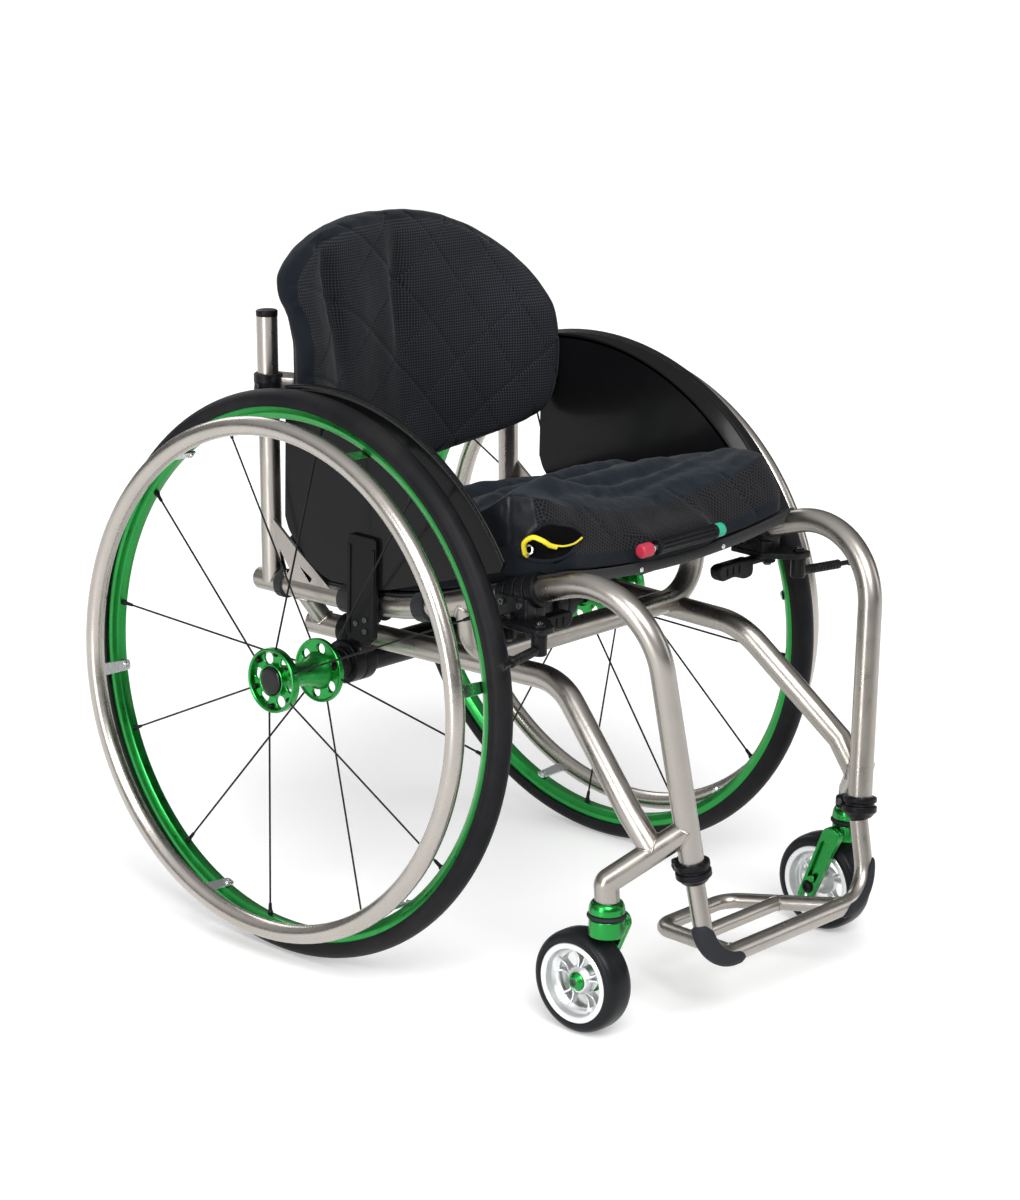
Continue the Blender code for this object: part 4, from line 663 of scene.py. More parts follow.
LEG = fillet_path([LEG_TOP, LEG_CORNER, (0.0, LEG_CORNER.y, 0.0797)], [0.04])


# Titanium tubes and their welds

def frame_tubes():
    pair("main_tube_form", tube(RAIL, RAIL_RADIUS, 48), TITANIUM, ["main_tube"])
    root = ARM_ROOT + (ARM_ROOT - MITRE).normalized() * 0.0015
    arm = elbow(root, MITRE, MITRE - UP * 0.018, RAIL_RADIUS)
    pair("caster_arm_form", arm, TITANIUM, ["caster_arm"])
    foot = at_y(LOWER, 0.034)[0]
    brace_top = at_y(RAIL, 0.054)[0]
    lower = merged(tube(LOWER, RAIL_RADIUS, 48), tube([foot, brace_top], 0.01, 40))
    pair("lower_tube_form", lower, TITANIUM, ["lower_tube"])
    half = [CROSS_TOP, CROSS_LOW]
    line = fillet_path(half + [FLIP @ p for p in reversed(half)], [0.045, 0.045])
    single("cross_tube_form", tube(line, RAIL_RADIUS, 48), TITANIUM, ["seat_cross_tube"])

    down = (LEG_END - ARM_ROOT).normalized()
    beads = [
        weld(ARM_ROOT.lerp(MITRE, 0.9), ARM_ROOT - MITRE, RAIL_RADIUS, ARM_ROOT, down, RAIL_RADIUS, 0.0011),
        weld(LOWER[-2].lerp(LOWER[-1], 0.4), LOWER[-1] - LOWER[-2], RAIL_RADIUS, MITRE, ARM_ROOT - MITRE,
             RAIL_RADIUS, 0.0011),
        weld(foot.lerp(brace_top, 0.5), brace_top - foot, 0.01, brace_top, (0, 1, 0), RAIL_RADIUS),
        weld(foot.lerp(brace_top, 0.5), foot - brace_top, 0.01, foot, LOWER[0] - LOWER[1], RAIL_RADIUS),
        weld(CROSS_TOP.lerp(CROSS_LOW, 0.5), CROSS_TOP - CROSS_LOW, RAIL_RADIUS, CROSS_TOP,
             at_y(RAIL, -0.18)[1], RAIL_RADIUS),
    ]
    pair("frame_welds", merged(*beads), TITANIUM)
    plug = turned(rounded([(0.0, 0.0), (0.0026, 0.0), (0.0026, 0.0106), (0.0, 0.0118), (-0.004, 0.0118)],
                          0.0008), 40,
                  looking((RAIL_X, 0.1125 - 0.0004, RAIL[0].z), (RAIL_X, 0.2, RAIL[0].z - 0.0023)))
    pair("rail_plug", plug, PLASTIC)


def elbow(start, corner, end, radius):
    """Two tubes that meet at a corner dressed round, as wide as the tubes."""
    into, out = (corner - start).normalized(), (end - corner).normalized()
    axis = into.cross(out).normalized()
    full = into.angle(out)
    middle = (out - into).normalized()
    inner = corner + middle * radius * 0.8
    rows = [(start, into)]
    for k in range(13):
        heading = into.copy()
        heading.rotate(Quaternion(axis, full * k / 12))
        across = heading.cross(axis).normalized()
        outward = across if across.dot(middle) < 0 else -across
        place = inner + outward * radius * 0.8 / math.cos(full / 2)
        rows.append((corner + (place - corner) * 0.55, heading))
    rows.append((end, out))
    rings = []
    for place, heading in rows:
        across = heading.cross(axis).normalized()
        rings.append([place + (across * math.cos(a) + axis * math.sin(a)) * radius
                      for a in turns(ELBOW_SIDES)])
    return skin(rings)


def cane_and_gusset():
    cane = tube([CANE_FOOT, CANE_TOP], 0.011, 44)
    pair("back_cane_form", cane, TITANIUM, ["back_cane"])
    level = at_y(RAIL, 0.04)[0].z
    outer = RAIL_X + 0.0097
    edge = [(0.099, 0.063), (0.09, 0.071), (0.0537, 0.044), (0.026, 0.026), (-0.0016, 0.0065),
            (-0.0016, -0.002), (0.061, -0.002), (0.084, 0.04)]
    slots = [[(0.0765, 0.038), (0.0605, 0.018), (0.068, 0.0085)],
             [(0.048, 0.0255), (0.0275, 0.0143), (0.0315, 0.0095)]]
    lines = [rounded([(y, level + z) for y, z in edge], 0.004, 4, True)]
    lines += [rounded([(y, level + z) for y, z in slot], 0.0022, 4, True) for slot in slots]
    gusset = plate(lines, outer - 0.004, outer, 0.0005, facing("X"))
    pair("gusset_plate", gusset, TITANIUM)
    line = smooth_line([(outer - 0.002, 0.087, level + 0.07), (outer - 0.001, 0.0855, level + 0.055),
                        (outer - 0.001, 0.0845, level + 0.041)], 12)
    pair("cane_welds", tube(line, 0.0014, 10, 0.0), TITANIUM)
    cap = turned(rounded([(-0.004, 0.0), (-0.004, 0.0112), (0.0016, 0.0114), (0.0026, 0.01), (0.0026, 0.0)],
                         0.0007),
                 44, looking(CANE_TOP, CANE_TOP + (CANE_TOP - CANE_FOOT)))
    pair("cane_plug", cap, PLASTIC)


# Footrest

def footrest():
    front = LEG[:-1] + [FLIP @ p for p in reversed(LEG[:-1])]
    bar = tube(front, 0.0095, 40)
    start = Vector((0.092, LEG_CORNER.y, 0.0797))
    corner = Vector((0.054, -0.338, 0.062))
    half = [start, corner]
    loop_line = fillet_path(half + [FLIP @ p for p in reversed(half)], [0.025, 0.025])
    loop = tube(loop_line, 0.008, 36)
    middle = start.lerp(corner, 0.55)
    cross = tube([middle, FLIP @ middle], 0.0075, 36)
    ends = []
    for side in (Matrix(), FLIP):
        a, b, m = side @ start, side @ corner, side @ middle
        ends.append(weld(a.lerp(b, 0.5), a - b, 0.008, a, (1, 0, 0), 0.0095, 0.0013))
        ends.append(weld(Vector((0.0, m.y, m.z)), m - Vector((0.0, m.y, m.z)), 0.0075, a, b - a, 0.008,
                         0.0012))
    single("footrest_form", merged(bar, loop, cross), TITANIUM, ["footrest"])
    single("footrest_welds", merged(*ends), TITANIUM)


def leg_clamp():
    """The collar at the leg's end with its two lugs and the screw through them."""
    top = front_at(FRONT_END_Z + 0.0195)
    place = looking(top, top + LEG_ALONG)
    r = RAIL_RADIUS
    profile = [(0.0, r), (0.0, r + 0.0034), (0.001, r + 0.0052), (0.0056, r + 0.0052), (0.0066, r + 0.003),
               (0.0092, r + 0.003), (0.01, r + 0.0056), (0.0158, r + 0.0056), (0.0176, r + 0.0034),
               (0.0214, r + 0.0004), (0.0226, 0.011), (0.0226, 0.0094)]
    body = spun(profile, 0.0007, 64, place)
    back = Vector((-0.15, 1.0, 0.0)).normalized()
    across = back.cross(LEG_ALONG).normalized()
    middle = top + LEG_ALONG * 0.009
    lug = Matrix.Translation(middle) @ Matrix((back, LEG_ALONG, back.cross(LEG_ALONG))).transposed().to_4x4()
    outline = rounded([(r - 0.002, -0.0078), (r + 0.0125, -0.0066), (r + 0.0125, 0.0066),
                       (r - 0.002, 0.0078)],
                      0.0042, 4, True)
    lugs = [plate([outline], offset - 0.0024, offset + 0.0024, 0.0006, lug) for offset in (-0.0036, 0.0036)]
    pin = middle + back * (r + 0.0075)
    screw = merged(bolt(pin + across * 0.0058, across, 0.0036, 0.0028),
                   bolt(pin - across * 0.0058, -across, 0.0034, 0.002))
    pair("leg_clamp_form", merged(body, *lugs), BLACK_METAL, ["footrest_clamp"])
    pair("leg_clamp_screw", screw, DARK_STEEL)


def corner_bumper():
    """The rubber guard that wraps the front of a footrest corner, thinned out at its ends and edges."""
    bend = [LEG[1].lerp(LEG[0], 0.03)] + LEG[1:-1] + [LEG[-2].lerp(LEG[-1], 0.09)]
    inner, outer = 0.0099, 0.0122
    up = Vector((1.0, -0.45, -0.2))
    line = []
    for a, b in zip(bend, bend[1:]):
        line += [a, a.lerp(b, 0.5)]
    line.append(bend[-1])
    rings = []
    length = sum((b - a).length for a, b in zip(line, line[1:]))
    run = 0.0
    for i, (along, plane, across, above) in enumerate(frames_along(line, up)):
        if i:
            run += (line[i] - line[i - 1]).length
        near_end = min(run, length - run)
        wide = math.radians(86.0) * (1 - 0.55 * max(0.0, 1 - near_end / 0.012) ** 2)
        thick = outer - (outer - inner) * 0.6 * max(0.0, 1 - near_end / 0.003) ** 2
        fan = [-wide + 2 * wide * k / 14 for k in range(15)]
        ring = [(inner * math.sin(a), inner * math.cos(a)) for a in fan]
        for a in reversed(fan):
            r = thick - (thick - inner) * 0.5 * (abs(a) / wide) ** 8
            ring.append((r * math.sin(a), r * math.cos(a)))
        points = []
        for a, b in ring:
            offset = across * a + above * b
            points.append(line[i] + offset - along * (offset.dot(plane) / along.dot(plane)))
        rings.append(points)
    pair("corner_bumper_form", skin(rings), BUMPER, ["corner_guard"], bend=50.0)


# Axle, camber tube and its clamps

WHEEL = Matrix.Translation((WHEEL_X, 0.0, AXLE_Z)) @ Matrix.Rotation(-CAMBER, 4, "Y")


def wheel_point(x, radius, turn):
    return WHEEL @ Vector((x, -radius * math.cos(turn), radius * math.sin(turn)))


def axle_parts():
    end = WHEEL_X - FLANGE_IN - 0.002
    shoulder = end - 0.0225
    half = [(shoulder - 0.0012, CAMBER_TUBE_RADIUS), (shoulder, CAMBER_TUBE_RADIUS - 0.0012),
            (shoulder, 0.015),
            (shoulder + 0.006, 0.015), (shoulder + 0.0075, 0.0114), (end - 0.003, 0.0114), (end, 0.0094)]
    profile = [(-end, 0.0)] + [(-x, r) for x, r in reversed(half)] + half + [(end, 0.0)]
    beam = turned(rounded(profile, 0.0006), 64, Matrix.Translation((0.0, 0.0, AXLE_Z)))
    single("camber_tube_form", beam, BLACK_METAL, ["camber_tube"])
    head = FLANGE_OUT - 0.0075
    pin = turned(rounded([(-0.0805, 0.0), (-0.0805, 0.0056), (-0.0795, 0.0064), (head, 0.0064), (head, 0.0)],
                         0.0004),
                 40, WHEEL)
    pair("axle_pin_form", pin, STEEL, ["axle_pin"])
    y = -0.008
    front, rear = at_y(LOWER, y - 0.018)[0], at_y(LOWER, y + 0.018)[0]
    middle = front.lerp(rear, 0.5)
    r = CAMBER_TUBE_RADIUS
    ring = [(-0.016, r - 0.0005), (-0.016, r + 0.0046), (-0.0148, r + 0.006), (-0.002, r + 0.006),
            (-0.001, r + 0.005), (0.001, r + 0.005), (0.002, r + 0.006), (0.0148, r + 0.006),
            (0.016, r + 0.0046), (0.016, r - 0.0005)]
    lower_ring = turned(rounded(ring, 0.0007), 64, Matrix.Translation((middle.x, 0.0, AXLE_Z)))
    r = RAIL_RADIUS
    length = (front - rear).length
    saddle = [(0.0, r), (0.0, r + 0.003), (0.001, r + 0.0042), (length / 2 - 0.001, r + 0.0042),
              (length / 2, r + 0.0034), (length / 2 + 0.001, r + 0.0042), (length - 0.001, r + 0.0042),
              (length, r + 0.003), (length, r)]
    upper_ring = turned(rounded(saddle, 0.0006), 64, looking(rear, front))
    web = plate([rounded([(y - 0.012, AXLE_Z), (y + 0.012, AXLE_Z), (y + 0.0125, middle.z),
                          (y - 0.0125, middle.z)],
                         0.002, 3, True)], middle.x - 0.012, middle.x + 0.012, 0.001, facing("X"))
    pair("axle_clamp_form", merged(lower_ring, upper_ring, web), BLACK_METAL, ["axle_clamp"])
    screws = []
    for dy in (-0.0125, 0.0125):
        for dx in (-0.0085, 0.0085):
            out = Vector((0.0, math.copysign(1.0, dy), -0.15))
            screws.append(bolt((middle.x + dx, y + dy, AXLE_Z + 0.0215 - 0.004), out, 0.003, 0.0026))
    pair("axle_clamp_screws", merged(*screws), DARK_STEEL)


# Rear wheels

def rear_wheel():
    centre = WHEEL_RADIUS - TYRE_RADIUS
    seat = math.asin((RIM_RADIUS + 0.0002 - centre) / TYRE_RADIUS)
    profile = []
    for i in range(33):
        turn = seat + (math.pi - 2 * seat) * i / 32
        r = TYRE_RADIUS
        lean = abs(math.degrees(turn) - 90.0)
        if 58.0 < lean < 62.0:
            r += 0.00025
        if 74.0 < lean < 77.0:
            r += 0.0003
        profile.append((r * math.cos(turn), centre + r * math.sin(turn)))
    profile = [(profile[0][0], RIM_RADIUS - 0.001)] + profile + [(profile[-1][0], RIM_RADIUS - 0.001)]
    pair("tyre_form", turned(profile, 160, WHEEL), TYRE, ["tyre"], "wheel", bend=60.0)

    half, inner, bead_line = RIM_WIDTH / 2, RIM_RADIUS - RIM_DEPTH, RIM_RADIUS - RIM_DEPTH * 0.55
    flat = half * 0.6
    section = [(half - 0.0012, RIM_RADIUS + 0.001), (half, RIM_RADIUS), (half, bead_line + 0.0004),
               (flat, inner + 0.0003), (0.0, inner), (-flat, inner + 0.0003), (-half, bead_line + 0.0004),
               (-half, RIM_RADIUS), (-half + 0.0012, RIM_RADIUS + 0.001)]
    pair("rim_form", turned(rounded(section, 0.0011, 3, True), 160, WHEEL), GREEN_RIM, ["rim"],
         "wheel")

    ring = [(HANDRIM_STANDOFF + a, HANDRIM_RADIUS + b) for a, b in circle(HANDRIM_TUBE, 36)]
    pair("handrim_form", turned(ring, 176, WHEEL), SATIN, ["handrim"], "wheel")
    tabs, screws = [], []
    reach = inner - 0.0006
    for i in range(6):
        turn = FIRST_TAB + math.tau * i / 6
        tabs.append(bracket_tab(turn, reach))
        spot = wheel_point(-0.0012, reach - 0.0022, turn)
        screws.append(bolt(spot, wheel_point(-0.0012, 0.0, turn) - spot, 0.0034, 0.0022, 0.45, 0.0048))
    pair("handrim_tabs", merged(*tabs), STEEL, body="wheel")
    pair("tab_screws", merged(*screws), STEEL, body="wheel")


def bracket_tab(turn, reach):
    """A flat tab from under the rim out to the handrim, its end rounded and its corners eased."""
    slant = WHEEL @ Matrix.Rotation(math.pi - turn, 4, "X")
    low, high = -0.0072, HANDRIM_STANDOFF + 0.002
    outline = rounded([(low, -0.0056), (high, -0.007), (high, 0.007), (low, 0.0056)], 0.0045, 4, True)
    place = slant @ Matrix.Translation((0.0, reach - 0.0024,
                                        0.0)) @ Matrix(((1, 0, 0), (0, 0, 1), (0, -1, 0))).to_4x4()
    return plate([outline], 0.0, 0.0022, 0.0005, place)


def spokes():
    """Twelve spokes, every other one to the inner flange, with their nipples and hub ends."""
    wires, nipples, ends = [], [], []
    seat = FLANGE_RADIUS - 0.003
    rim = RIM_RADIUS - RIM_DEPTH
    for i in range(6):
        for outer in (True, False):
            turn = FIRST_SPOKE + math.tau * (i if outer else i + 0.5) / 6
            x = FLANGE_OUT - 0.003 if outer else 0.0028 - FLANGE_IN
            start, end = wheel_point(x, seat, turn), wheel_point(0.0, rim, turn)
            along = (end - start).normalized()
            wires.append(tube([start, end], 0.00105, 10, 0.0))
            neck = end - along * 0.0125
            profile = [(0.0, 0.0011), (0.0006, 0.0017), (0.0085, 0.0021), (0.0095, 0.0029), (0.0125, 0.0031)]
            nipples.append(turned(profile, 16, looking(neck, end), closed=False))
            if outer:
                inside, centre = wheel_point(x - 0.001, seat + 0.0005,
                                             turn), wheel_point(x - 0.001, 0.0, turn)
                knob = [(0.0, 0.0027), (0.0042, 0.0027), (0.0052, 0.002), (0.0054, 0.0)]
            else:
                inside = wheel_point(x + 0.001, seat - 0.0008, turn)
                centre = inside - WHEEL.to_3x3() @ Vector((1.0, 0.0, 0.0))
                knob = [(0.0, 0.0034), (0.003, 0.0034), (0.0042, 0.0026), (0.0044, 0.0)]
            ends.append(spun(knob, 0.0005, 20, looking(inside, centre)))
    return merged(*wires), merged(*nipples), merged(*ends)


def hub():
    wires, nipples, ends = spokes()
    pair("spokes", wires, BLACK_SPOKE, ["spoked_hub"], "wheel")
    pair("nipples", nipples, BLACK_SPOKE, body="wheel")
    pair("spoke_ends", ends, BLACK_SPOKE, body="wheel")
    place = WHEEL @ Matrix(((0, 0, 1), (-1, 0, 0), (0, -1, 0))).to_4x4()
    forms = []
    for low, high, outer in ((FLANGE_OUT - 0.0092, FLANGE_OUT - 0.0058, True),
                             (-FLANGE_IN, -FLANGE_IN + 0.0042, False)):
        lines = [circle(FLANGE_RADIUS - 0.0024, 96), circle(0.012, 48)]
        for i in range(6):
            turn = FIRST_SPOKE + math.tau * (i + (0.5 if outer else 0.0)) / 6
            centre = (0.0232 * math.cos(turn), -0.0232 * math.sin(turn))
            lines.append(circle(0.0062 if outer else 0.0056, 36, centre))
        forms.append(plate(lines, low, high, 0.0011, place, 4))
    outer_edge = ((-0.0092, 0.0052), (-0.0056, 0.0046), (-0.0008, 0.0034), (0.0002, 0.0024), (0.0002, 0.0012),
                  (-0.001, 0.0), (-0.009, 0.0), (-0.0102, 0.0015))
    inner_edge = ((0.0, 0.004), (0.0048, 0.0034), (0.0056, 0.001), (0.0046, 0.0), (0.0004, 0.0))
    for x, edge in ((FLANGE_OUT, outer_edge), (-FLANGE_IN, inner_edge)):
        ring = rounded([(x + dx, FLANGE_RADIUS - within) for dx, within in edge], 0.0006, 2, True)
        forms.append(turned(ring, 96, WHEEL))
    waist = 0.012
    barrel = [(FLANGE_OUT - 0.006, 0.0128), (FLANGE_OUT - 0.007, 0.0158), (FLANGE_OUT - 0.013, 0.015),
              (0.013, waist + 0.0008), (0.0, waist), (-0.013, waist + 0.0008), (0.014 - FLANGE_IN, 0.016),
              (0.006 - FLANGE_IN, 0.02), (0.0036 - FLANGE_IN, 0.02), (0.003 - FLANGE_IN, 0.01)]
    forms.append(spun(barrel, 0.003, 64, WHEEL, 5))
    ring = 0.0148
    collar = [(FLANGE_OUT - 0.007, 0.007), (FLANGE_OUT - 0.007, ring + 0.0026),
              (FLANGE_OUT - 0.001, ring + 0.0022),
              (FLANGE_OUT - 0.0002, ring + 0.0014), (FLANGE_OUT - 0.0008, ring), (FLANGE_OUT - 0.006, ring),
              (FLANGE_OUT - 0.006, 0.007)]
    forms.append(turned(rounded(collar, 0.0005, 2, True), 72, WHEEL))
    pair("hub_form", merged(*forms), GREEN, body="wheel")
    back = FLANGE_OUT - 0.003
    cap = [(back + dx, r) for dx, r in (
        (-0.0135, 0.0), (-0.0135, 0.003), (0.001, 0.003), (0.001, 0.0142), (0.0032, 0.0142), (0.0042, 0.0128),
        (0.0046, 0.009), (0.0046, 0.0))]
    pair("axle_button_form", spun(cap, 0.0006, 72, WHEEL), CAP, ["axle_button"],
         "axle_button")


# Casters

def upright(profile):
    """A profile of (height, radius) turned about the caster's stem."""
    stand = Matrix.Translation((STEM.x, STEM.y, 0.0)) @ Matrix.Rotation(-math.pi / 2, 4, "Y")
    return turned(profile, 72, stand, closed=profile[0][1] > 0 and profile[-1][1] > 0)


def caster_mount():
    foot, top = HOUSING_BOTTOM, HOUSING_TOP
    dome_line = [(foot, 0.007), (foot, 0.0176), (foot + 0.0012, 0.0182), (foot + 0.003, 0.0181)]
    for i in range(9):
        turn = math.pi / 2 * i / 8
        dome_line.append((foot + 0.0035 + (top - foot - 0.0035) * math.sin(turn),
                          0.0134 + 0.0046 * math.cos(turn)))
    dome_line += [(top, 0.0115), (top, 0.0)]
    pair("caster_housing_form", upright(rounded(dome_line, 0.0003, 2)), GREEN, ["caster_housing"])
    ring = [(SEAL_Z + a, 0.0176 + b) for a, b in circle(0.00215, 20)]
    pair("caster_seal_form", upright(ring), BUMPER, ["caster_seal"])


def caster_fork():
    """A one-sided fork: crown, blade with a sunk field and a dropout slot, axle bolt and cap."""
    foot = CROWN_BOTTOM
    stem = [(HOUSING_TOP - 0.004, 0.0), (HOUSING_TOP - 0.004, 0.0058), (CROWN_TOP, 0.006),
            (CROWN_TOP, 0.0164),
            (CROWN_TOP - 0.001, 0.0176), (foot + 0.0012, 0.018), (foot, 0.0168), (foot, 0.0)]
    crown = upright(rounded(stem, 0.0006))
    outer = STEM.x - CASTER_HALF_WIDTH - 0.0038
    inner = outer - 0.009
    shoulder = Vector((STEM.y + 0.003, foot + 0.0068))
    axle = Vector((CASTER.y, CASTER.z))
    heading = (axle - shoulder).normalized()
    tip = axle + heading * 0.013
    outline = hull_of((shoulder, 0.0108), (tip, 0.0086))
    a, b = shoulder + heading * 0.013, axle - heading * 0.0125
    pocket = hull_of((a, 0.007), (b, 0.0054))
    dropout = hull_of((axle, 0.0034), (tip + heading * 0.003, 0.0034))
    blade = plate([outline, pocket, dropout], inner, inner + 0.0046, 0.001, facing("X"))
    back = plate([outline, dropout], inner + 0.0046, outer, 0.001, facing("X"))
    boss = tube([(inner + 0.0005, *shoulder), (STEM.x - 0.004, *shoulder)], 0.0102, 40, 0.001)
    spot = axle - heading * 0.0105
    button = spun([(0.0, 0.0), (0.0, 0.0042), (0.0016, 0.0042), (0.0022, 0.0034), (0.0022, 0.0)], 0.0004, 32,
                  looking((inner + 0.001, *spot), (inner - 1.0, *spot)))
    pair("caster_fork_form", merged(crown, blade, back, boss, button), GREEN, ["caster_fork"],
         "caster_swivel")
    left = -CASTER_HALF_WIDTH - 0.0038 - 0.009 - TOUCH
    bolt_head = bolt((CASTER.x + left + 0.0005, CASTER.y, CASTER.z), (-1.0, 0.0, 0.0), 0.0056, 0.0034, 0.5,
                     0.0072)
    pair("caster_bolt_head", bolt_head, BLACK_METAL, ["caster_axle"], "caster_swivel")
    cone = [(0.0092, 0.0), (0.0092, 0.0098), (0.01, 0.01), (0.0112, 0.0092), (0.014, 0.0062),
            (0.0147, 0.0054), (0.0147, 0.0038)]
    cap = spun(cone, 0.0005, 48, Matrix.Translation(CASTER))
    pair("caster_cap", cap, GREEN, body="caster_swivel")
    hexagon = bolt((CASTER.x + 0.012, CASTER.y, CASTER.z), (1.0, 0.0, 0.0), 0.004, 0.0022, 0.55)
    pair("caster_cap_bolt", hexagon, DARK_STEEL, body="caster_swivel")


def hull_of(first, second):
    """The outline round two circles, each a centre and a radius."""
    (a, ra), (b, rb) = first, second
    heading = math.atan2(b[1] - a[1], b[0] - a[0])
    line = []
    for centre, radius, start in ((b, rb, -math.pi / 2), (a, ra, math.pi / 2)):
        for i in range(HULL_STEPS + 1):
            turn = heading + start + math.pi * i / HULL_STEPS
            line.append((centre[0] + radius * math.cos(turn), centre[1] + radius * math.sin(turn)))
    return line


def caster_wheel():
    """A soft tyre on a five-armed polished hub, each arm split in two."""
    half, r = CASTER_HALF_WIDTH, CASTER_RADIUS
    place = Matrix.Translation(CASTER)
    hub_r = CASTER_HUB_RADIUS
    section = [(half * 0.93, hub_r - 0.001), (half * 0.99, hub_r + 0.0006)]
    for i in range(15):
        turn = math.radians(12.0) + math.radians(156.0) * i / 14
        section.append((half * math.copysign(abs(math.cos(turn)) ** 0.62, math.cos(turn)),
                        hub_r + 0.0008 + (r - hub_r - 0.0008) * math.sin(turn) ** 0.8))
    section += [(-half * 0.99, hub_r + 0.0006), (-half * 0.93, hub_r - 0.001)]
    pair("caster_tyre_form", turned(section, 120, place), SOFT_TYRE, ["caster_tyre"],
         "caster_wheel", bend=60.0)
    lip = half - 0.0004
    wall = [(lip, hub_r), (lip, hub_r - 0.0042), (lip - 0.001, hub_r - 0.0054), (0.008, hub_r - 0.0072),
            (0.0046, hub_r - 0.0094), (0.003, hub_r - 0.0125), (-0.003, hub_r - 0.0125),
            (-0.0046, hub_r - 0.0094),
            (-0.008, hub_r - 0.0072), (-lip + 0.001, hub_r - 0.0054), (-lip, hub_r - 0.0042), (-lip, hub_r)]
    rings = [turned(rounded(wall, 0.0014, 4, True), 120, place)]
    boss = [(0.0092, 0.0034), (0.0092, 0.0108), (0.004, 0.015), (-0.004, 0.015), (-0.015, 0.01),
            (-0.0203, 0.007), (-0.0203, 0.0034)]
    rings.append(turned(rounded(boss, 0.0014, 4, True), 72, place))
    bar = rounded([(-0.0016, -0.004), (0.0016, -0.004), (0.0011, 0.0042), (-0.0011, 0.0042)], 0.0009, 4, True)
    arms = []
    for i in range(5):
        base = math.tau * i / 5 + 0.3
        for lean in (-1.0, 1.0):
            line, scales = [], []
            for k in range(13):
                share = k / 12
                turn = base + lean * (0.13 + 0.13 * share ** 1.6)
                radius = 0.0125 + (hub_r - 0.0085 - 0.0125) * share
                bulge = 0.0022 - 0.0026 * math.sin(math.pi * share)
                line.append(CASTER + Vector((bulge, radius * math.cos(turn), radius * math.sin(turn))))
                scales.append(1.25 - 0.35 * math.sin(math.pi * share))
            arms.append(sweep(line, bar, up=Vector((1.0, 0.0, 0.0)), scales=scales))
    pair("caster_hub_form", merged(*rings, *arms), POLISHED, ["caster_hub"], "caster_wheel",
         bend=50.0)
    face = [(lip - 0.0006, hub_r - 0.0004), (lip + 0.0003, hub_r - 0.001), (lip + 0.0003, hub_r - 0.0056),
            (lip - 0.001, hub_r - 0.0066), (lip - 0.0016, hub_r - 0.004)]
    both = merged(turned(rounded(face, 0.0005, 2, True), 120, place),
                  turned(rounded([(-x, q) for x, q in face], 0.0005, 2, True), 120, place))
    pair("caster_lip", both, LIP, body="caster_wheel")


# Side guards

def side_guard():
    """A flat panel under a fender that flares out over the tyre."""
    inner, outer = GUARD_INNER, GUARD_OUTER
    arc_r, lip_r = 0.292, 0.303
    front = math.atan2(0.1603, 0.248)
    rear = math.pi / 2 + math.asin(0.06 / arc_r)
    arc = [(-arc_r * math.cos(t), AXLE_Z + arc_r * math.sin(t))
           for t in (front + (rear - front) * i / 60 for i in range(61))]
    sill = [(0.06, 0.15), (0.054, 0.135), (0.02, 0.104), (-0.004, 0.0935), (-0.083, 0.0985), (-0.228, 0.146),
            (-0.24, 0.1495)]
    sill = rounded([(y, AXLE_Z + z) for y, z in sill], 0.01, 4)
    panel = plate([arc + [tuple(p) for p in sill]], inner, outer, 0.0005, facing("X"))
    pair("guard_panel", panel, GLOSS, ["side_guard"], "side_guard")
    rings = []
    for i in range(81):
        turn = front + (rear - front) * i / 80
        share = 0.12 + 0.88 * min(1.0, (rear - turn) / math.radians(38.0))
        reach = arc_r + (lip_r - arc_r) * share
        flare = outer + 0.011 * share
        section = [(inner, arc_r - 0.004), (outer, arc_r - 0.004), (outer + 0.0008, arc_r - 0.0008),
                   (flare - 0.0015, reach - 0.0026), (flare, reach - 0.001), (flare - 0.0004, reach + 0.0004),
                   (flare - 0.0022, reach + 0.0007), (inner, arc_r + 0.0012)]
        ring = [Vector((p[0], -p[1] * math.cos(turn), AXLE_Z + p[1] * math.sin(turn)))
                for p in rounded(section, 0.0016, 3, True)]
        rings.append(ring)
    pair("guard_fender", skin(rings), GLOSS, body="side_guard")


def guard_receiver():
    """The ribbed post on the rail that a side guard drops into."""
    inner = GUARD_OUTER + 2 * TOUCH
    outer = inner + 0.0045
    y, wide = -0.056, 0.04
    low, high = y - wide / 2, y + wide / 2
    base = at_y(RAIL, y)[0].z
    post = rounded([(low, base - 0.03), (low + 0.006, base - 0.036), (high - 0.006, base - 0.036),
                    (high, base - 0.03), (high, base + 0.072), (high - 0.003, base + 0.075),
                    (low + 0.003, base + 0.075), (low, base + 0.072)], 0.003, 4, True)
    form = [plate([post], inner, outer, 0.0009, facing("X"))]
    for edge in (low + 0.003, high - 0.003):
        rib = rounded([(edge - 0.0022, base - 0.03), (edge + 0.0022, base - 0.03),
                       (edge + 0.0022, base + 0.064), (edge - 0.0022, base + 0.064)], 0.0015, 3, True)
        form.append(plate([rib], outer - 0.001, outer + 0.0016, 0.0008, facing("X")))
    form.append(box((RAIL_X + 0.006, low + 0.007, base - 0.016), (inner + 0.002, high - 0.007, base + 0.009),
                    0.001))
    form.append(rail_band(y, wide - 0.012, RAIL_RADIUS + 0.004, (-100.0, 190.0)))
    pair("guard_receiver_form", merged(*form), PLASTIC, ["guard_receiver"])
    screws = [bolt((outer - 0.0002, y + dy, base + dz), (1.0, 0.0, 0.0), 0.003, 0.0018)
              for dy, dz in ((-0.006, -0.012), (-0.006, -0.024), (0.007, -0.018))]
    pair("receiver_screws", merged(*screws), DARK_STEEL)


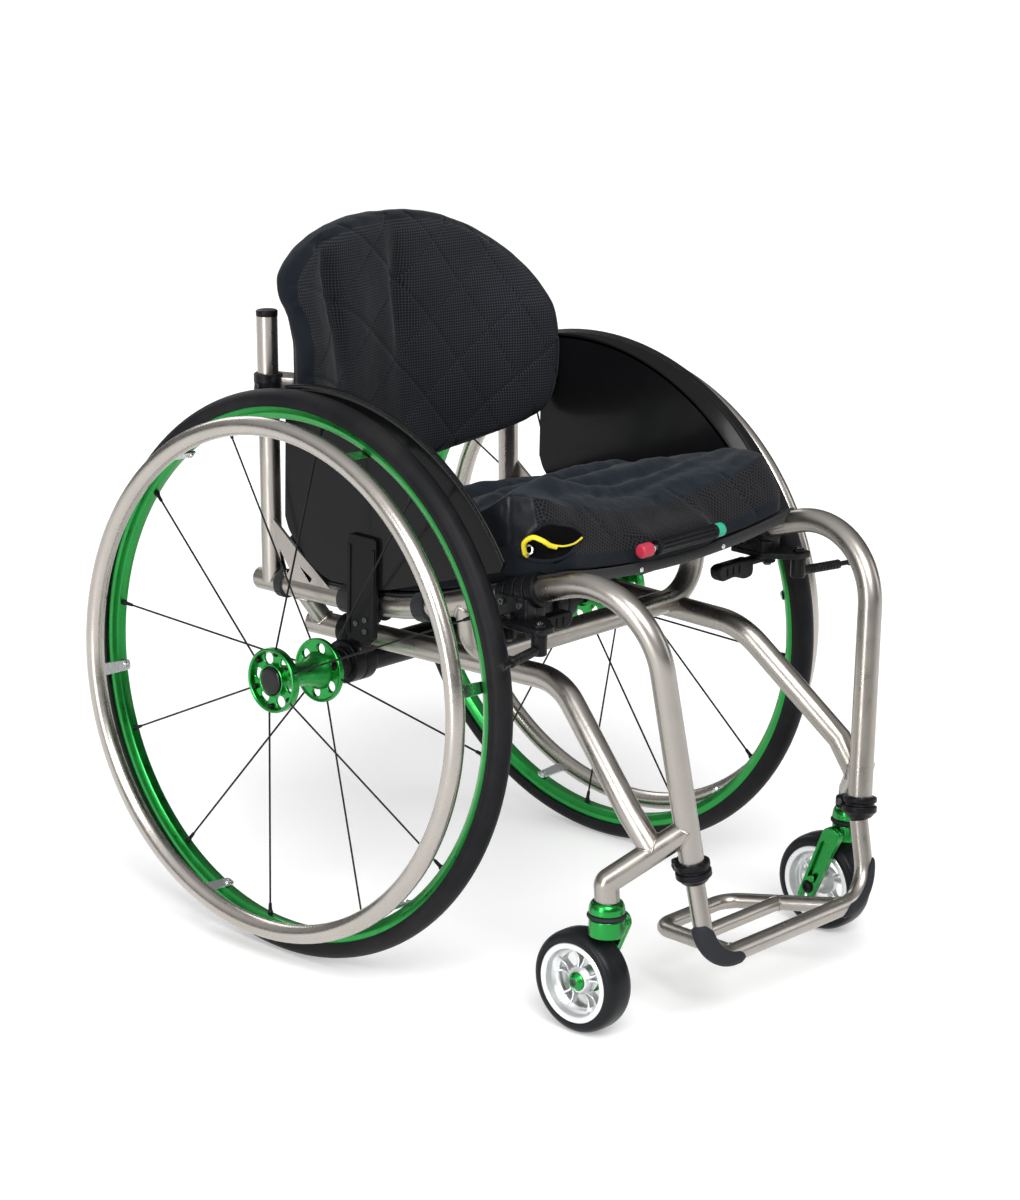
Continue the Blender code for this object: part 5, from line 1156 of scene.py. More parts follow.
def rail_band(y, length, radius, spread, edge=0.0008):
    """A band round part of a rail. The spread is in degrees from the rail's outer side, downward."""
    a, b = at_y(RAIL, y + length / 2)[0], at_y(RAIL, y - length / 2)[0]
    place = looking(a, b)
    span = (b - a).length
    section = rounded([(0.0, RAIL_RADIUS - 0.0005), (0.0, radius), (span, radius),
                       (span, RAIL_RADIUS - 0.0005)],
                      edge, 3, True)
    rings = []
    for i in range(BAND_STEPS + 1):
        turn = math.radians(spread[0] + (spread[1] - spread[0]) * i / BAND_STEPS)
        rings.append([place @ Vector((x, r * math.sin(turn), -r * math.cos(turn))) for x, r in section])
    return skin(rings)


# Wheel locks

LOCK_Y = -0.2575
LEVER_Y = -0.258
SHOE_Y = -0.299
DECK = at_y(RAIL, LOCK_Y + 0.025)[0].z - RAIL_RADIUS - 0.007


def wheel_lock():
    """The base under the rail with its clamp bands, the lever with its grip, and the knurled shoe bar."""
    pivot = LOCK_PIVOT_X
    outline = [(RAIL_X - 0.01, LOCK_Y + 0.024), (RAIL_X - 0.01, LOCK_Y - 0.02),
               (pivot - 0.012, SHOE_Y - 0.009),
               (pivot + 0.008, SHOE_Y - 0.01), (pivot + 0.011, SHOE_Y - 0.005),
               (pivot + 0.011, LEVER_Y + 0.006), (pivot + 0.004, LEVER_Y + 0.012)]
    forms = [plate([rounded(outline, 0.004, 4, True)], DECK, DECK + 0.006, 0.0008)]
    middle = at_y(RAIL, LOCK_Y)[0].z
    forms.append(box((RAIL_X + 0.004, LOCK_Y - 0.02, DECK + 0.003), (RAIL_X + 0.02, LOCK_Y + 0.02, middle),
                     0.0015))
    forms.append(box((RAIL_X - 0.009, LOCK_Y - 0.02, DECK + 0.003),
                     (RAIL_X + 0.006, LOCK_Y + 0.021, middle - 0.009), 0.0015))
    for shift in (-0.0185, -0.0062, 0.0062, 0.0185):
        forms.append(rail_band(LOCK_Y + shift, 0.0106, RAIL_RADIUS + 0.0048, (-70.0, 250.0)))
    for y in (LEVER_Y, SHOE_Y):
        cap = [(0.0, 0.0064), (0.003, 0.0064), (0.0036, 0.0058), (0.0036, 0.0)]
        forms.append(spun(cap, 0.0004, 32, looking((pivot, y, DECK + 0.0055), (pivot, y, DECK + 1.0))))
    pair("wheel_lock_base_form", merged(*forms), BLACK_METAL, ["wheel_lock_base"])
    screws = [bolt((RAIL_X + 0.0198, LOCK_Y + dy, middle - 0.007), (1.0, 0.0, 0.0), 0.0034, 0.0026)
              for dy in (-0.012, 0.012)]
    screws += [bolt((pivot, y, DECK + 0.0088), (0.0, 0.0, 1.0), 0.0034, 0.0022) for y in (LEVER_Y, SHOE_Y)]
    pair("wheel_lock_screws", merged(*screws), DARK_STEEL)

    top = DECK - TOUCH
    level = top - 0.0065
    boss = [(0.0, 0.0), (0.0, 0.0078), (0.001, 0.0086), (0.0122, 0.0086), (0.0132, 0.0076), (0.0132, 0.0)]
    lever = [spun(boss, 0.0004, 40, looking((pivot, LEVER_Y, top), (pivot, LEVER_Y, 0.0)))]
    end = pivot - 0.0915
    lever.append(tube([(pivot, LEVER_Y, level), (end + 0.03, LEVER_Y, level)], 0.0052, 28))
    low = level - 0.017
    grip = [(end, level + 0.002), (end + 0.002, level - 0.008), (end + 0.01, low + 0.004),
            (end + 0.03, low + 0.006),
            (end + 0.048, low), (end + 0.06, low + 0.002), (end + 0.0615, level - 0.004),
            (end + 0.056, level + 0.0055), (end + 0.006, level + 0.0055)]
    place = Matrix.Translation((0.0, LEVER_Y, 0.0)) @ facing("Y")
    lever.append(plate([rounded(grip, 0.006, 5, True)], -0.0065, 0.0065, 0.003, place, 5))
    for x in (end + 0.016, end + 0.026, end + 0.036):
        face = LEVER_Y - 0.0066
        lever.append(tube([(x, face, low + 0.009), (x, face, level + 0.001)], 0.0011, 12, 0.0004))
    pair("lock_lever_form", merged(*lever), PLASTIC, ["wheel_lock_lever"], "lock_lever")
    screw = bolt((pivot, LEVER_Y, top - 0.0131), (0.0, 0.0, -1.0), 0.0042, 0.003)
    pair("lock_lever_screw", screw, DARK_STEEL, body="lock_lever")

    level = top - 0.0154
    boss = [(0.0, 0.0), (0.0, 0.0072), (0.001, 0.008), (0.0206, 0.008), (0.0218, 0.007), (0.0218, 0.0)]
    shoe = [spun(boss, 0.0004, 40, looking((pivot, SHOE_Y, top), (pivot, SHOE_Y, 0.0)))]
    rest = math.radians(13.0)
    out = Vector((math.cos(rest), -math.sin(rest), 0.0))
    root = Vector((pivot, SHOE_Y, level))
    line = [(0.0, 0.005), (0.01, 0.005)]
    for i in range(9):
        at = 0.014 + 0.0045 * i
        line += [(at, 0.005), (at + 0.0005, 0.0043), (at + 0.0012, 0.0043), (at + 0.0017, 0.005)]
    line += [(0.056, 0.005), (0.0568, 0.0042), (0.0575, 0.0027), (0.069, 0.0027), (0.07, 0.0036),
             (0.073, 0.004), (0.0748, 0.003), (0.075, 0.0)]
    shoe.append(turned(line, 32, looking(root, root + out), closed=False))
    pair("lock_shoe_form", merged(*shoe), BLACK_METAL, ["wheel_lock_shoe"], "lock_shoe")


# Seat sling

HEM_Y = -0.305


def sling_sag(x):
    """How far the sling hangs below the rails' tops."""
    return 0.015 * max(0.0, 1.0 - (x / RAIL_X) ** 2)


def seat_top(y):
    """The sling's height over a rail."""
    centre, along = at_y(RAIL, y)
    return centre.z + (RAIL_RADIUS + TOUCH + 0.002) / abs(along.y)


def sling():
    """The seat's cloth, its hems, straps and rivets. Returns the cloth, its flat size and its stitching."""
    over = RAIL_RADIUS + TOUCH + 0.002
    rows = [0.079 - (0.079 + 0.305) * i / 60 for i in range(61)]
    outs = [0.005, 0.0035, 0.0018, 0.0, -0.002, -0.004]
    columns = [RAIL_X + o for o in outs] + [RAIL_X - 0.0075 - (RAIL_X - 0.0075) * k / 24 for k in range(25)]
    columns = columns + [-x for x in reversed(columns[:-1])]
    top_rows, low_rows = [], []
    for y in rows:
        centre, along = at_y(RAIL, y)
        top, low = [], []
        for x in columns:
            beyond = abs(x) - RAIL_X
            if beyond > -0.005:
                z = centre.z + math.sqrt(over ** 2 - max(beyond, 0.0) ** 2) / abs(along.y) - sling_sag(x)
            else:
                z = centre.z + over / abs(along.y) - sling_sag(x)
            if abs(x) < RAIL_X - 0.01:
                ripple = 0.0006 * noise.noise(Vector((x * 18.0, y * 30.0, 0.3)))
                pinch = 0.0008 * math.cos(math.tau * y / 0.052) * max(0.0, 1 - (RAIL_X - abs(x)) / 0.05)
                z += ripple + pinch
            top.append(Vector((x, y, z - 0.0004)))
            low.append(Vector((x, y, z - 0.0022)))
        top_rows.append(top)
        low_rows.append(low)
    rings = [top + list(reversed(low)) for top, low in zip(top_rows, low_rows)]
    cloth = single("seat_sling_form", skin(rings), SLING, ["seat_sling"], bend=60.0)
    width = sum((b - a).length for a, b in zip(top_rows[30], top_rows[30][1:]))
    length = sum((b[30] - a[30]).length for a, b in zip(top_rows, top_rows[1:]))
    hems = [tube([p + UP * 0.0001 for p in top_rows[row][4:-4]], 0.0004, 8, 0.0) for row in (1, 4, 57, 59)]
    roll = []
    for k in range(41):
        x = 0.186 * (k / 20 - 1)
        spot = Vector((x, HEM_Y - 0.0002, seat_top(HEM_Y) - sling_sag(x) - 0.0062))
        fat = min(1.0, 0.3 + 4.0 * (1 - abs(k / 20 - 1)))
        roll.append([spot + Vector((0.0, -0.0032 * fat * math.cos(t), 0.0056 * math.sin(t)))
                     for t in turns(20)])
    single("sling_front_hem", skin(roll), WEB, bend=60.0)
    thread = single("sling_stitching", merged(*hems), WEB)
    covers = []
    for y, wide in ((0.0752, 0.01), (-0.02, 0.016), (-0.125, 0.016)):
        covers.append(rail_band(y, wide, RAIL_RADIUS + TOUCH + 0.0018, (-178.0, 178.0), edge=0.0004))
        covers.append(rail_band(y, wide * 0.9, RAIL_RADIUS + TOUCH + 0.0026, (-60.0, 60.0), edge=0.0004))
    pair("sling_straps", merged(*covers), WEB)
    rivets = []
    for y in (-0.292, -0.15, 0.0, 0.066):
        spot = at_y(RAIL, y)[0] + Vector((-0.01, 0.0, RAIL_RADIUS - 0.003))
        rivets.append(bolt(spot + Vector((0.0, 0.0, -0.002)), (-0.5, 0.0, 0.8), 0.0032, 0.0012, 0.3))
    spot = Vector((0.065, HEM_Y - 0.0033, seat_top(HEM_Y) - sling_sag(0.065) - 0.007))
    rivets.append(turned([(0.0, 0.0026), (0.0006, 0.0024), (0.001, 0.0016), (0.0011, 0.0)], 24,
                         looking(spot, spot + Vector((0.0, -1.0, 0.0))), closed=False))
    pair("sling_rivets", merged(*rivets), STEEL)
    return cloth, (width, length), thread


# Cushion

def smooth_between(stations, at):
    """A value eased between stations, which are (place, value) from high places to low."""
    places = [station[0] for station in stations]
    if at >= places[0]:
        return stations[0][1]
    if at <= places[-1]:
        return stations[-1][1]
    for (high, first), (low, second) in zip(stations, stations[1:]):
        if low <= at <= high:
            share = (high - at) / (high - low)
            return first + (second - first) * (3 - 2 * share) * share ** 2


FRONT_Y, REAR_Y = -0.31, 0.092
MIDDLE_Y, HALF_Y = (REAR_Y + FRONT_Y) / 2, (REAR_Y - FRONT_Y) / 2
HALF_X = RAIL_X + 0.005
VALVE = Vector((-0.008, FRONT_Y - 0.007, 0.458))
THICKNESS = ((REAR_Y, 0.036), (-0.106, 0.07), (-0.215, 0.068), (-0.275, 0.05), (FRONT_Y, 0.038))
EYE = Vector((-2.5885, -2.3803, 1.3299))  # where the photograph was taken from


def patchwork(counts, place):
    """A closed box of patches. place(u, v, w), each from -1 to 1, says where a point goes. Returns the
    mesh and the points' u, v, w; the faces' finishes are numbered bottom, top, front, rear, left, right."""
    nx, ny, nz = counts
    index, keys, faces, sides = {}, [], [], []

    def corner(i, j, k):
        if (i, j, k) not in index:
            index[i, j, k] = len(keys)
            keys.append((2 * i / nx - 1, 2 * j / ny - 1, 2 * k / nz - 1))
        return index[i, j, k]

    # Each side: where it lies, the two directions it spreads along, and whether its squares are turned over
    for side, start, first, second, over in (
            (0, (0, 0, 0), 0, 1, True), (1, (0, 0, nz), 0, 1, False), (2, (0, 0, 0), 0, 2, False),
            (3, (0, ny, 0), 0, 2, True), (4, (nx, 0, 0), 1, 2, False), (5, (0, 0, 0), 1, 2, True)):
        for a in range(counts[first]):
            for b in range(counts[second]):
                square = []
                for da, db in ((0, 0), (1, 0), (1, 1), (0, 1)):
                    spot = list(start)
                    spot[first] += a + da
                    spot[second] += b + db
                    square.append(corner(*spot))
                faces.append(square[::-1] if over else square)
                sides.append(side)
    mesh = bpy.data.meshes.new("patchwork")
    mesh.from_pydata([place(*key) for key in keys], [], faces)
    for polygon, side in zip(mesh.polygons, sides):
        polygon.material_index = side
    return mesh, keys


def stuffed(mesh, held, pressure, cap, frames):
    """Swells a closed cover by cloth simulation. The held points stay, and no point moves more than cap."""
    obj = bpy.data.objects.new("stuffed", mesh)
    bpy.context.scene.collection.objects.link(obj)
    group = obj.vertex_groups.new(name="held")
    group.add(held, 1.0, "REPLACE")
    start = [v.co.copy() for v in mesh.vertices]
    cloth = obj.modifiers.new("swell", "CLOTH")
    settings = cloth.settings
    settings.quality = 4
    settings.use_pressure = True
    settings.uniform_pressure_force = pressure
    settings.effector_weights.gravity = 0.0
    settings.tension_stiffness = settings.compression_stiffness = 15.0
    settings.shear_stiffness = 5.0
    settings.bending_stiffness = 0.5
    settings.vertex_group_mass = "held"
    scene = bpy.context.scene
    for moment in range(1, frames + 1):
        scene.frame_set(moment)
    swollen = evaluated(obj)
    scene.frame_set(1)
    for vertex, was in zip(swollen.vertices, start):
        move = vertex.co - was
        if move.length > cap:
            vertex.co = was + move * (cap / move.length)
    return swollen


def evaluated(obj):
    """The mesh that an object's modifiers make. The object is removed."""
    made = bpy.data.meshes.new_from_object(obj.evaluated_get(bpy.context.evaluated_depsgraph_get()))
    bpy.data.objects.remove(obj, do_unlink=True)
    return made


def subdivided(mesh):
    obj = bpy.data.objects.new("finer", mesh)
    bpy.context.scene.collection.objects.link(obj)
    step = obj.modifiers.new("finer", "SUBSURF")
    step.levels = 1
    step.boundary_smooth = "PRESERVE_CORNERS"
    return evaluated(obj)


def pressed(mesh, depth_at):
    """Moves each point inwards by the depth that depth_at gives for its place and normal."""
    mesh.update()
    moves = [(v.co - v.normal * depth_at(v.co, v.normal)) for v in mesh.vertices]
    for vertex, place in zip(mesh.vertices, moves):
        vertex.co = place
    mesh.update()


def lay_cloth(mesh, unroll):
    """Texture coordinates in metres, from where each face lies and looks."""
    layer = mesh.uv_layers.active or mesh.uv_layers.new(name="cloth")
    points = mesh.vertices
    for polygon in mesh.polygons:
        for corner in polygon.loop_indices:
            layer.data[corner].uv = unroll(points[mesh.loops[corner].vertex_index].co, polygon.normal)


def flat_unroll(place, normal):
    """Cloth laid flat on the side it is nearest to."""
    if abs(normal.z) > 0.62:
        return place.x, place.y
    if abs(normal.y) > abs(normal.x):
        return place.x, place.z
    return place.y, place.z


def swell(value, middle, spread):
    """A soft hump: 1 at the middle, falling away with distance."""
    return math.exp(-((value - middle) / spread) ** 2)


def to_line(x, y, line):
    """The distance from a point to a line of points in a plane."""
    best = 1.0
    for (ax, ay), (bx, by) in zip(line, line[1:]):
        dx, dy = bx - ax, by - ay
        share = max(0.0, min(1.0, ((x - ax) * dx + (y - ay) * dy) / (dx * dx + dy * dy)))
        best = min(best, math.hypot(x - ax - dx * share, y - ay - dy * share))
    return best


def in_corner(x, y, half_x, half_y, radius):
    """A point of a rectangle, with the corners of the rectangle drawn in to a radius."""
    over_x, over_y = abs(x) - (half_x - radius), abs(y) - (half_y - radius)
    if over_x <= 0.0 or over_y <= 0.0:
        return x, y
    reach = max(over_x, over_y)
    length = math.hypot(over_x, over_y)
    return (math.copysign(half_x - radius + over_x / length * reach, x),
            math.copysign(half_y - radius + over_y / length * reach, y))


# Seams across the cushion's front, as (x, z), and its sides, as (y, z)
FRONT_SEAMS = [[(0.028, 0.5), (-0.045, 0.462)], [(-0.114, 0.5), (-0.093, 0.47)],
               [(0.105, 0.505), (0.128, 0.458)], [(0.028, 0.5), (0.062, 0.452)]]
SIDE_SEAMS = [[(-0.232, 0.53), (-0.24, 0.47)], [(-0.29, 0.52), (-0.3, 0.49)],
              [(-0.1, 0.52), (-0.11, 0.455)]]
SEAM_WIDTH = 0.0018
POCKET_DEPTH = 0.011
VALVE_SEAT_HALF, VALVE_SEAT_RISE = 0.074, 0.0122

# Each fold of the seat's cover: where it crosses the middle, its slant, depth and width
FOLDS = ((-0.158, 0.13, 0.0078, 0.0125), (-0.205, 0.05, 0.0052, 0.0105), (-0.06, 0.16, 0.006, 0.018),
         (0.02, -0.1, 0.004, 0.018), (-0.245, 0.14, 0.003, 0.01))


def cushion_top(x, y):
    """How far the soft folds of the top cover stand up or sink at a point."""
    rise = 0.0
    for middle, slant, deep, spread in FOLDS:
        along = 0.35 + 0.65 * swell(x, 0.05 if middle > -0.1 else -0.02, 0.15)
        bend = middle + slant * x + 0.012 * math.sin(9.0 * x + 40.0 * middle)
        rise -= deep * along * swell(y, bend, spread)
        rise += 0.45 * deep * along * swell(y, bend + 1.9 * spread, 1.3 * spread)
    rise += 0.003 * noise.noise(Vector((x * 9.0, y * 13.0, 2.0)))
    return rise + 0.001 * noise.noise(Vector((x * 34.0, y * 46.0, 5.0)))


def cushion_place(u, v, w):
    """Where a point of the cushion's patchwork lies before it is stuffed."""
    share = (w + 1) / 2
    slope = 0.034 * share ** 1.15
    inset = 0.0065 - 0.0045 * (1 - w * w)
    x, y = in_corner(u * (HALF_X - inset), v * (HALF_Y - inset), HALF_X - inset, HALF_Y - inset, 0.026)
    y += MIDDLE_Y
    front = max(0.0, min(1.0, 1 - (y - FRONT_Y) / 0.12))
    y += slope * front ** 2
    within = min(max(y, FRONT_Y + 0.008), REAR_Y - 0.002)
    sag = sling_sag(x)
    bottom = seat_top(within) + 0.0016 - sag
    top = seat_top(within) + smooth_between(THICKNESS,
                                            within) - sag * (0.05 + 0.6 * swell(y, -0.3, 0.05)) - 0.002
    if w == 1.0:
        dome = (1 - u ** 4) * (1 - v ** 4)
        top += 0.01 * dome + cushion_top(x, y) * min(1.0, dome * 2.2)
    # The front half is hollow between its sides, and its corners and the near hip are puffed up
    front_half = max(0.0, min(1.0, (-0.06 - y) / 0.1))
    top += 0.0125 * (x / HALF_X) ** 2 * front_half
    top += 0.017 * swell(x, -0.176, 0.03) * swell(y, -0.262, 0.042)
    top += 0.005 * swell(x, 0.172, 0.03) * swell(y, -0.262, 0.035)
    top += (0.02 * swell(x, -0.122, 0.042) * swell(y, -0.222, 0.05)
            - 0.014 * swell(x, -0.185, 0.03) * swell(y, -0.1, 0.09))
    if w == -1.0:
        return Vector((x, y, bottom))
    return Vector((x, y, bottom + (top - bottom) * share))


# The pocket's upper and lower edge, as the distance along from the side round the front corner, and height
POCKET = [(-0.2547, 0.4656), (-0.262, 0.478), (-0.272, 0.489), (-0.286, 0.4995), (-0.3, 0.503),
          (-0.317, 0.5), (-0.3345, 0.488)]
POCKET_LOW = [(-0.2547, 0.4656), (-0.268, 0.4625), (-0.283, 0.4625), (-0.3, 0.4665), (-0.318, 0.4745),
              (-0.3345, 0.488)]
CORNER_Y, CORNER_TURN = -0.3, 0.016
SIDE_X, CORNER_DEPTH = -0.1885, 0.0105


def height_on(line, along):
    """The height of a line of the pocket at a distance along, or None past its ends."""
    for (a, za), (b, zb) in zip(line, line[1:]):
        if a >= along >= b:
            return za + (zb - za) * (a - along) / (a - b)
    return None


def pocket_reach(place):
    """A point of the near side or front, unrolled round the corner: along from the side, and up."""
    sight = place - EYE
    side = EYE + sight * ((SIDE_X - EYE.x) / sight.x)
    if side.y > CORNER_Y:
        return side.y, side.z
    ahead = EYE + sight * ((CORNER_Y - CORNER_DEPTH - EYE.y) / sight.y)
    return min(CORNER_Y, CORNER_Y - CORNER_TURN - (ahead.x + 0.176) / 0.97), ahead.z


def in_pocket(place):
    """1 well inside the pocket's outline and 0 outside it."""
    along, rise = pocket_reach(place)
    high, bottom = height_on(POCKET, along), height_on(POCKET_LOW, along)
    if high is None or bottom is None or not bottom < rise < high:
        return 0.0
    return min(1.0, min(high - rise, rise - bottom) / 0.0035)


def cushion():
    """The cushion, and its cover's surface as it was before seams and pocket were pressed in."""
    mesh, keys = patchwork((72, 76, 10), cushion_place)
    held = [i for i, (u, v, w) in enumerate(keys)
            if w == -1.0 or (abs(w) == 1.0 and (abs(u) == 1 or abs(v) == 1))
            or (abs(u) == 1.0 and abs(v) > 0.93)]
    mesh = stuffed(mesh, held, 3.0, 0.006, frames=20)
    for polygon in mesh.polygons:
        side = polygon.material_index
        polygon.material_index = 0
        if side >= 2:
            low = sum(keys[i][2] for i in polygon.vertices) / 4 < (-0.35 if side == 2 else -0.1)
            shiny = side == 5 and -0.92 < keys[polygon.vertices[0]][1] < -0.46 and not low
            polygon.material_index = 1 if low else 3 if shiny else 2
    mesh = subdivided(mesh)

    def depth(place, normal):
        """How far a point sinks in: seams, wrinkles, the pocket, the valve's seat and the top's folds."""
        x, y, z = place
        deep = 0.0
        on_front = normal.y < -0.35 and y < -0.24
        if on_front:
            deep += 0.0016 * max(swell(to_line(x, z, line), 0.0, SEAM_WIDTH) for line in FRONT_SEAMS)
            deep += 0.001 * noise.noise(Vector((x * 40.0, z * 40.0, 1.0)))
        if abs(normal.x) > 0.5:
            deep += 0.0014 * max(swell(to_line(y, z, line), 0.0, SEAM_WIDTH) for line in SIDE_SEAMS)
            deep += 0.0016 * noise.noise(Vector((y * 30.0, z * 55.0, 4.0)))
        if x < -0.165 and -0.3 < y < -0.225 and normal.z < 0.85:
            deep += 0.0042 * noise.noise(Vector((y * 60.0, z * 80.0, x * 30.0))) * swell(z, 0.516, 0.024)
        if x < -0.12 and y < -0.235 and normal.x < 0.3:
            deep += POCKET_DEPTH * in_pocket(place)
        if on_front:
            beside = max(0.0, min(1.0, (VALVE_SEAT_HALF - abs(x - VALVE.x)) / 0.03))
            deep -= VALVE_SEAT_RISE * beside * beside * (3 - 2 * beside) * swell(z, 0.4575, 0.0135)
        if normal.z > 0.5:
            inside = (1 - (x / HALF_X) ** 4) * (1 - ((y - MIDDLE_Y) / HALF_Y) ** 6)
            deep += 0.0005 * noise.noise(Vector((x * 90.0, y * 120.0, 7.0)))
            deep -= 1.7 * cushion_top(x, y) * max(0.0, inside)
        return deep

    skin_of = BVHTree.FromPolygons([v.co.copy() for v in mesh.vertices],
                                   [tuple(p.vertices) for p in mesh.polygons])
    pressed(mesh, depth)
    lay_cloth(mesh, flat_unroll)
    form = single("cushion_form", mesh, (KNIT, KNIT_SIDE, SIDE_MESH, SHINY), ["cushion"],
                  bend=180.0)
    return form, skin_of


# Backrest

PAD_HALF, PAD_LOW, PAD_HIGH, PAD_DEEP = 0.19, 0.458, 0.733, 0.036
PAD_MIDDLE = (PAD_LOW + PAD_HIGH) / 2
# The pad's edge on the photograph's near and far side: height and distance from the middle
NEAR_SIDE = [(0.734, 0.0), (0.735, 0.05), (0.7285, 0.102), (0.717, 0.143), (0.702, 0.172), (0.685, 0.189),
             (0.668, 0.193), (0.654, 0.1865), (0.64, 0.187), (0.618, 0.19), (0.575, 0.19), (0.53, 0.189),
             (0.502, 0.18), (0.484, 0.145), (0.4685, 0.085), (0.459, 0.025), (0.4585, 0.0)]
FAR_SIDE = [(0.734, 0.0), (0.731, 0.04), (0.721, 0.08), (0.704, 0.12), (0.681, 0.155), (0.648, 0.182),
            (0.608, 0.194), (0.568, 0.197), (0.53, 0.193), (0.502, 0.18), (0.484, 0.145), (0.4685, 0.085),
            (0.459, 0.025), (0.4585, 0.0)]


def back_rim():
    """The pad's edge as seen from the front, as distances from its middle at even turns."""
    near = [(-half, z) for z, half in NEAR_SIDE]
    far = [(half, z) for z, half in FAR_SIDE]
    line = smooth_line([(x, z, 0.0) for x, z in far[:-1] + near[::-1][:-1]], 8, True)
    polar = sorted((math.atan2(p[1] - PAD_MIDDLE, p[0]) % math.tau, math.hypot(p[0], p[1] - PAD_MIDDLE))
                   for p in line)
    polar = [(polar[-1][0] - math.tau, polar[-1][1])] + polar + [(polar[0][0] + math.tau, polar[0][1])]

    def reach(turn):
        turn %= math.tau
        low, high = 0, len(polar) - 1
        while high - low > 1:
            at = (low + high) // 2
            if polar[at][0] <= turn:
                low = at
            else:
                high = at
        (a, ra), (b, rb) = polar[low], polar[high]
        return ra + (rb - ra) * (turn - a) / (b - a)
    return reach


BACK_REACH = back_rim()


def back_rear(x, z):
    """The y of the pad's rear face."""
    straight = max(0.0, min(1.0, (z - PAD_LOW - 0.162) / 0.07))
    return 0.118 - 0.06 * (1 - 0.5 * straight) * (x / PAD_HALF) ** 2 + 0.01 / 0.284 * (z - PAD_LOW - 0.142)


def back_spot(u, v, share=1.0):
    """A place in the pad's outline, from a square: x and z."""
    a = u * math.sqrt(1 - v * v / 2) * share
    b = v * math.sqrt(1 - u * u / 2) * share
    reach = math.hypot(a, b)
    if reach < 1e-9:
        return 0.0, PAD_MIDDLE
    turn = math.atan2(b, a)
    radius = BACK_REACH(turn) * reach
    return radius * math.cos(turn), PAD_MIDDLE + radius * math.sin(turn)


def quilt_depth(x, z):
    """The distance from a point of the pad's front to the nearest quilted seam."""
    rising = (z - 0.8 * x - 0.586) / 0.078
    falling = (z + x + (3.2 if x > 0 else 2.0) * x * x - 0.66) / 0.092
    return min(abs(rising - round(rising)) * 0.061, abs(falling - round(falling)) * 0.056)


def pad_place(u, v, w):
    """Where a point of the back pad's patchwork lies before it is stuffed: w runs from rear to front."""
    if w < 0.0:
        share = 0.968 + 0.032 * (1 - w ** 6)
    else:
        share = 0.952 + 0.048 * (1 - w ** 2.4)
    x, z = back_spot(u, v, share)
    rear = back_rear(x, z)
    if w == -1.0:
        return Vector((x, rear - 0.0006, z))
    share = (w + 1) / 2
    front = rear - PAD_DEEP + 0.002
    if w == 1.0:
        level = max(abs(u), abs(v))
        front += 0.006 * max(0.0, (level - 0.86) / 0.14) ** 2
        lie = swell(z, 0.655, 0.085)  # where the upright folds of the front lie
        front += 0.0095 * swell(x, -0.121, 0.012) * lie
        front += 0.008 * swell(x, -0.004, 0.0125) * swell(z, 0.64, 0.085)
        front -= 0.0035 * swell(x, -0.07, 0.028) * lie + 0.0026 * swell(x, -0.16, 0.018) * lie
    else:
        front += 0.006
    return Vector((x, rear + (front - rear) * share, z))


def back_unroll(place, _normal):
    return place.x + 1.84 * place.x ** 3, place.z


def back():
    mesh, keys = patchwork((104, 84, 8), pad_place)
    held = []
    for i, (u, v, w) in enumerate(keys):
        edge = max(abs(u), abs(v)) == 1.0
        if w == -1.0 or (w == 1.0 and edge):
            held.append(i)
        elif w == 1.0:
            place = mesh.vertices[i].co
            if quilt_depth(place.x, place.z) < 0.0019:
                held.append(i)
    mesh = stuffed(mesh, held, 4.5, 0.005, frames=16)
    for polygon in mesh.polygons:
        side = polygon.material_index
        polygon.material_index = 0 if side == 1 else 2 if side == 0 else 1
    mesh = subdivided(mesh)

    def depth(place, normal):
        x, y, z = place
        if normal.y > -0.3:  # the border and the rear: only slightly uneven
            return 0.0006 * noise.noise(Vector((x * 60.0, y * 60.0, z * 60.0)))
        inner = 0.0015 * swell(quilt_depth(x, z), 0.0, 0.0017)
        lie = swell(z, 0.65, 0.08)
        folds = swell(x + 0.15 * (z - 0.65), -0.117, 0.011) + 0.8 * swell(x + 0.2 * (z - 0.65), -0.002, 0.013)
        inner += 0.0055 * lie * folds
        inner -= 0.0016 * lie * (swell(x, -0.075, 0.022) + swell(x, 0.045, 0.025))
        pull = 0.0007 * noise.noise(Vector((x * 26.0, z * 9.0, 3.0)))
        return inner + pull + 0.0004 * noise.noise(Vector((x * 80.0, z * 60.0, 8.0)))

    pressed(mesh, depth)
    lay_cloth(mesh, back_unroll)
    return single("back_pad_form", mesh, (NET_CLOTH, KNIT_SIDE, SIDE_MESH), ["back_pad"], bend=180.0)


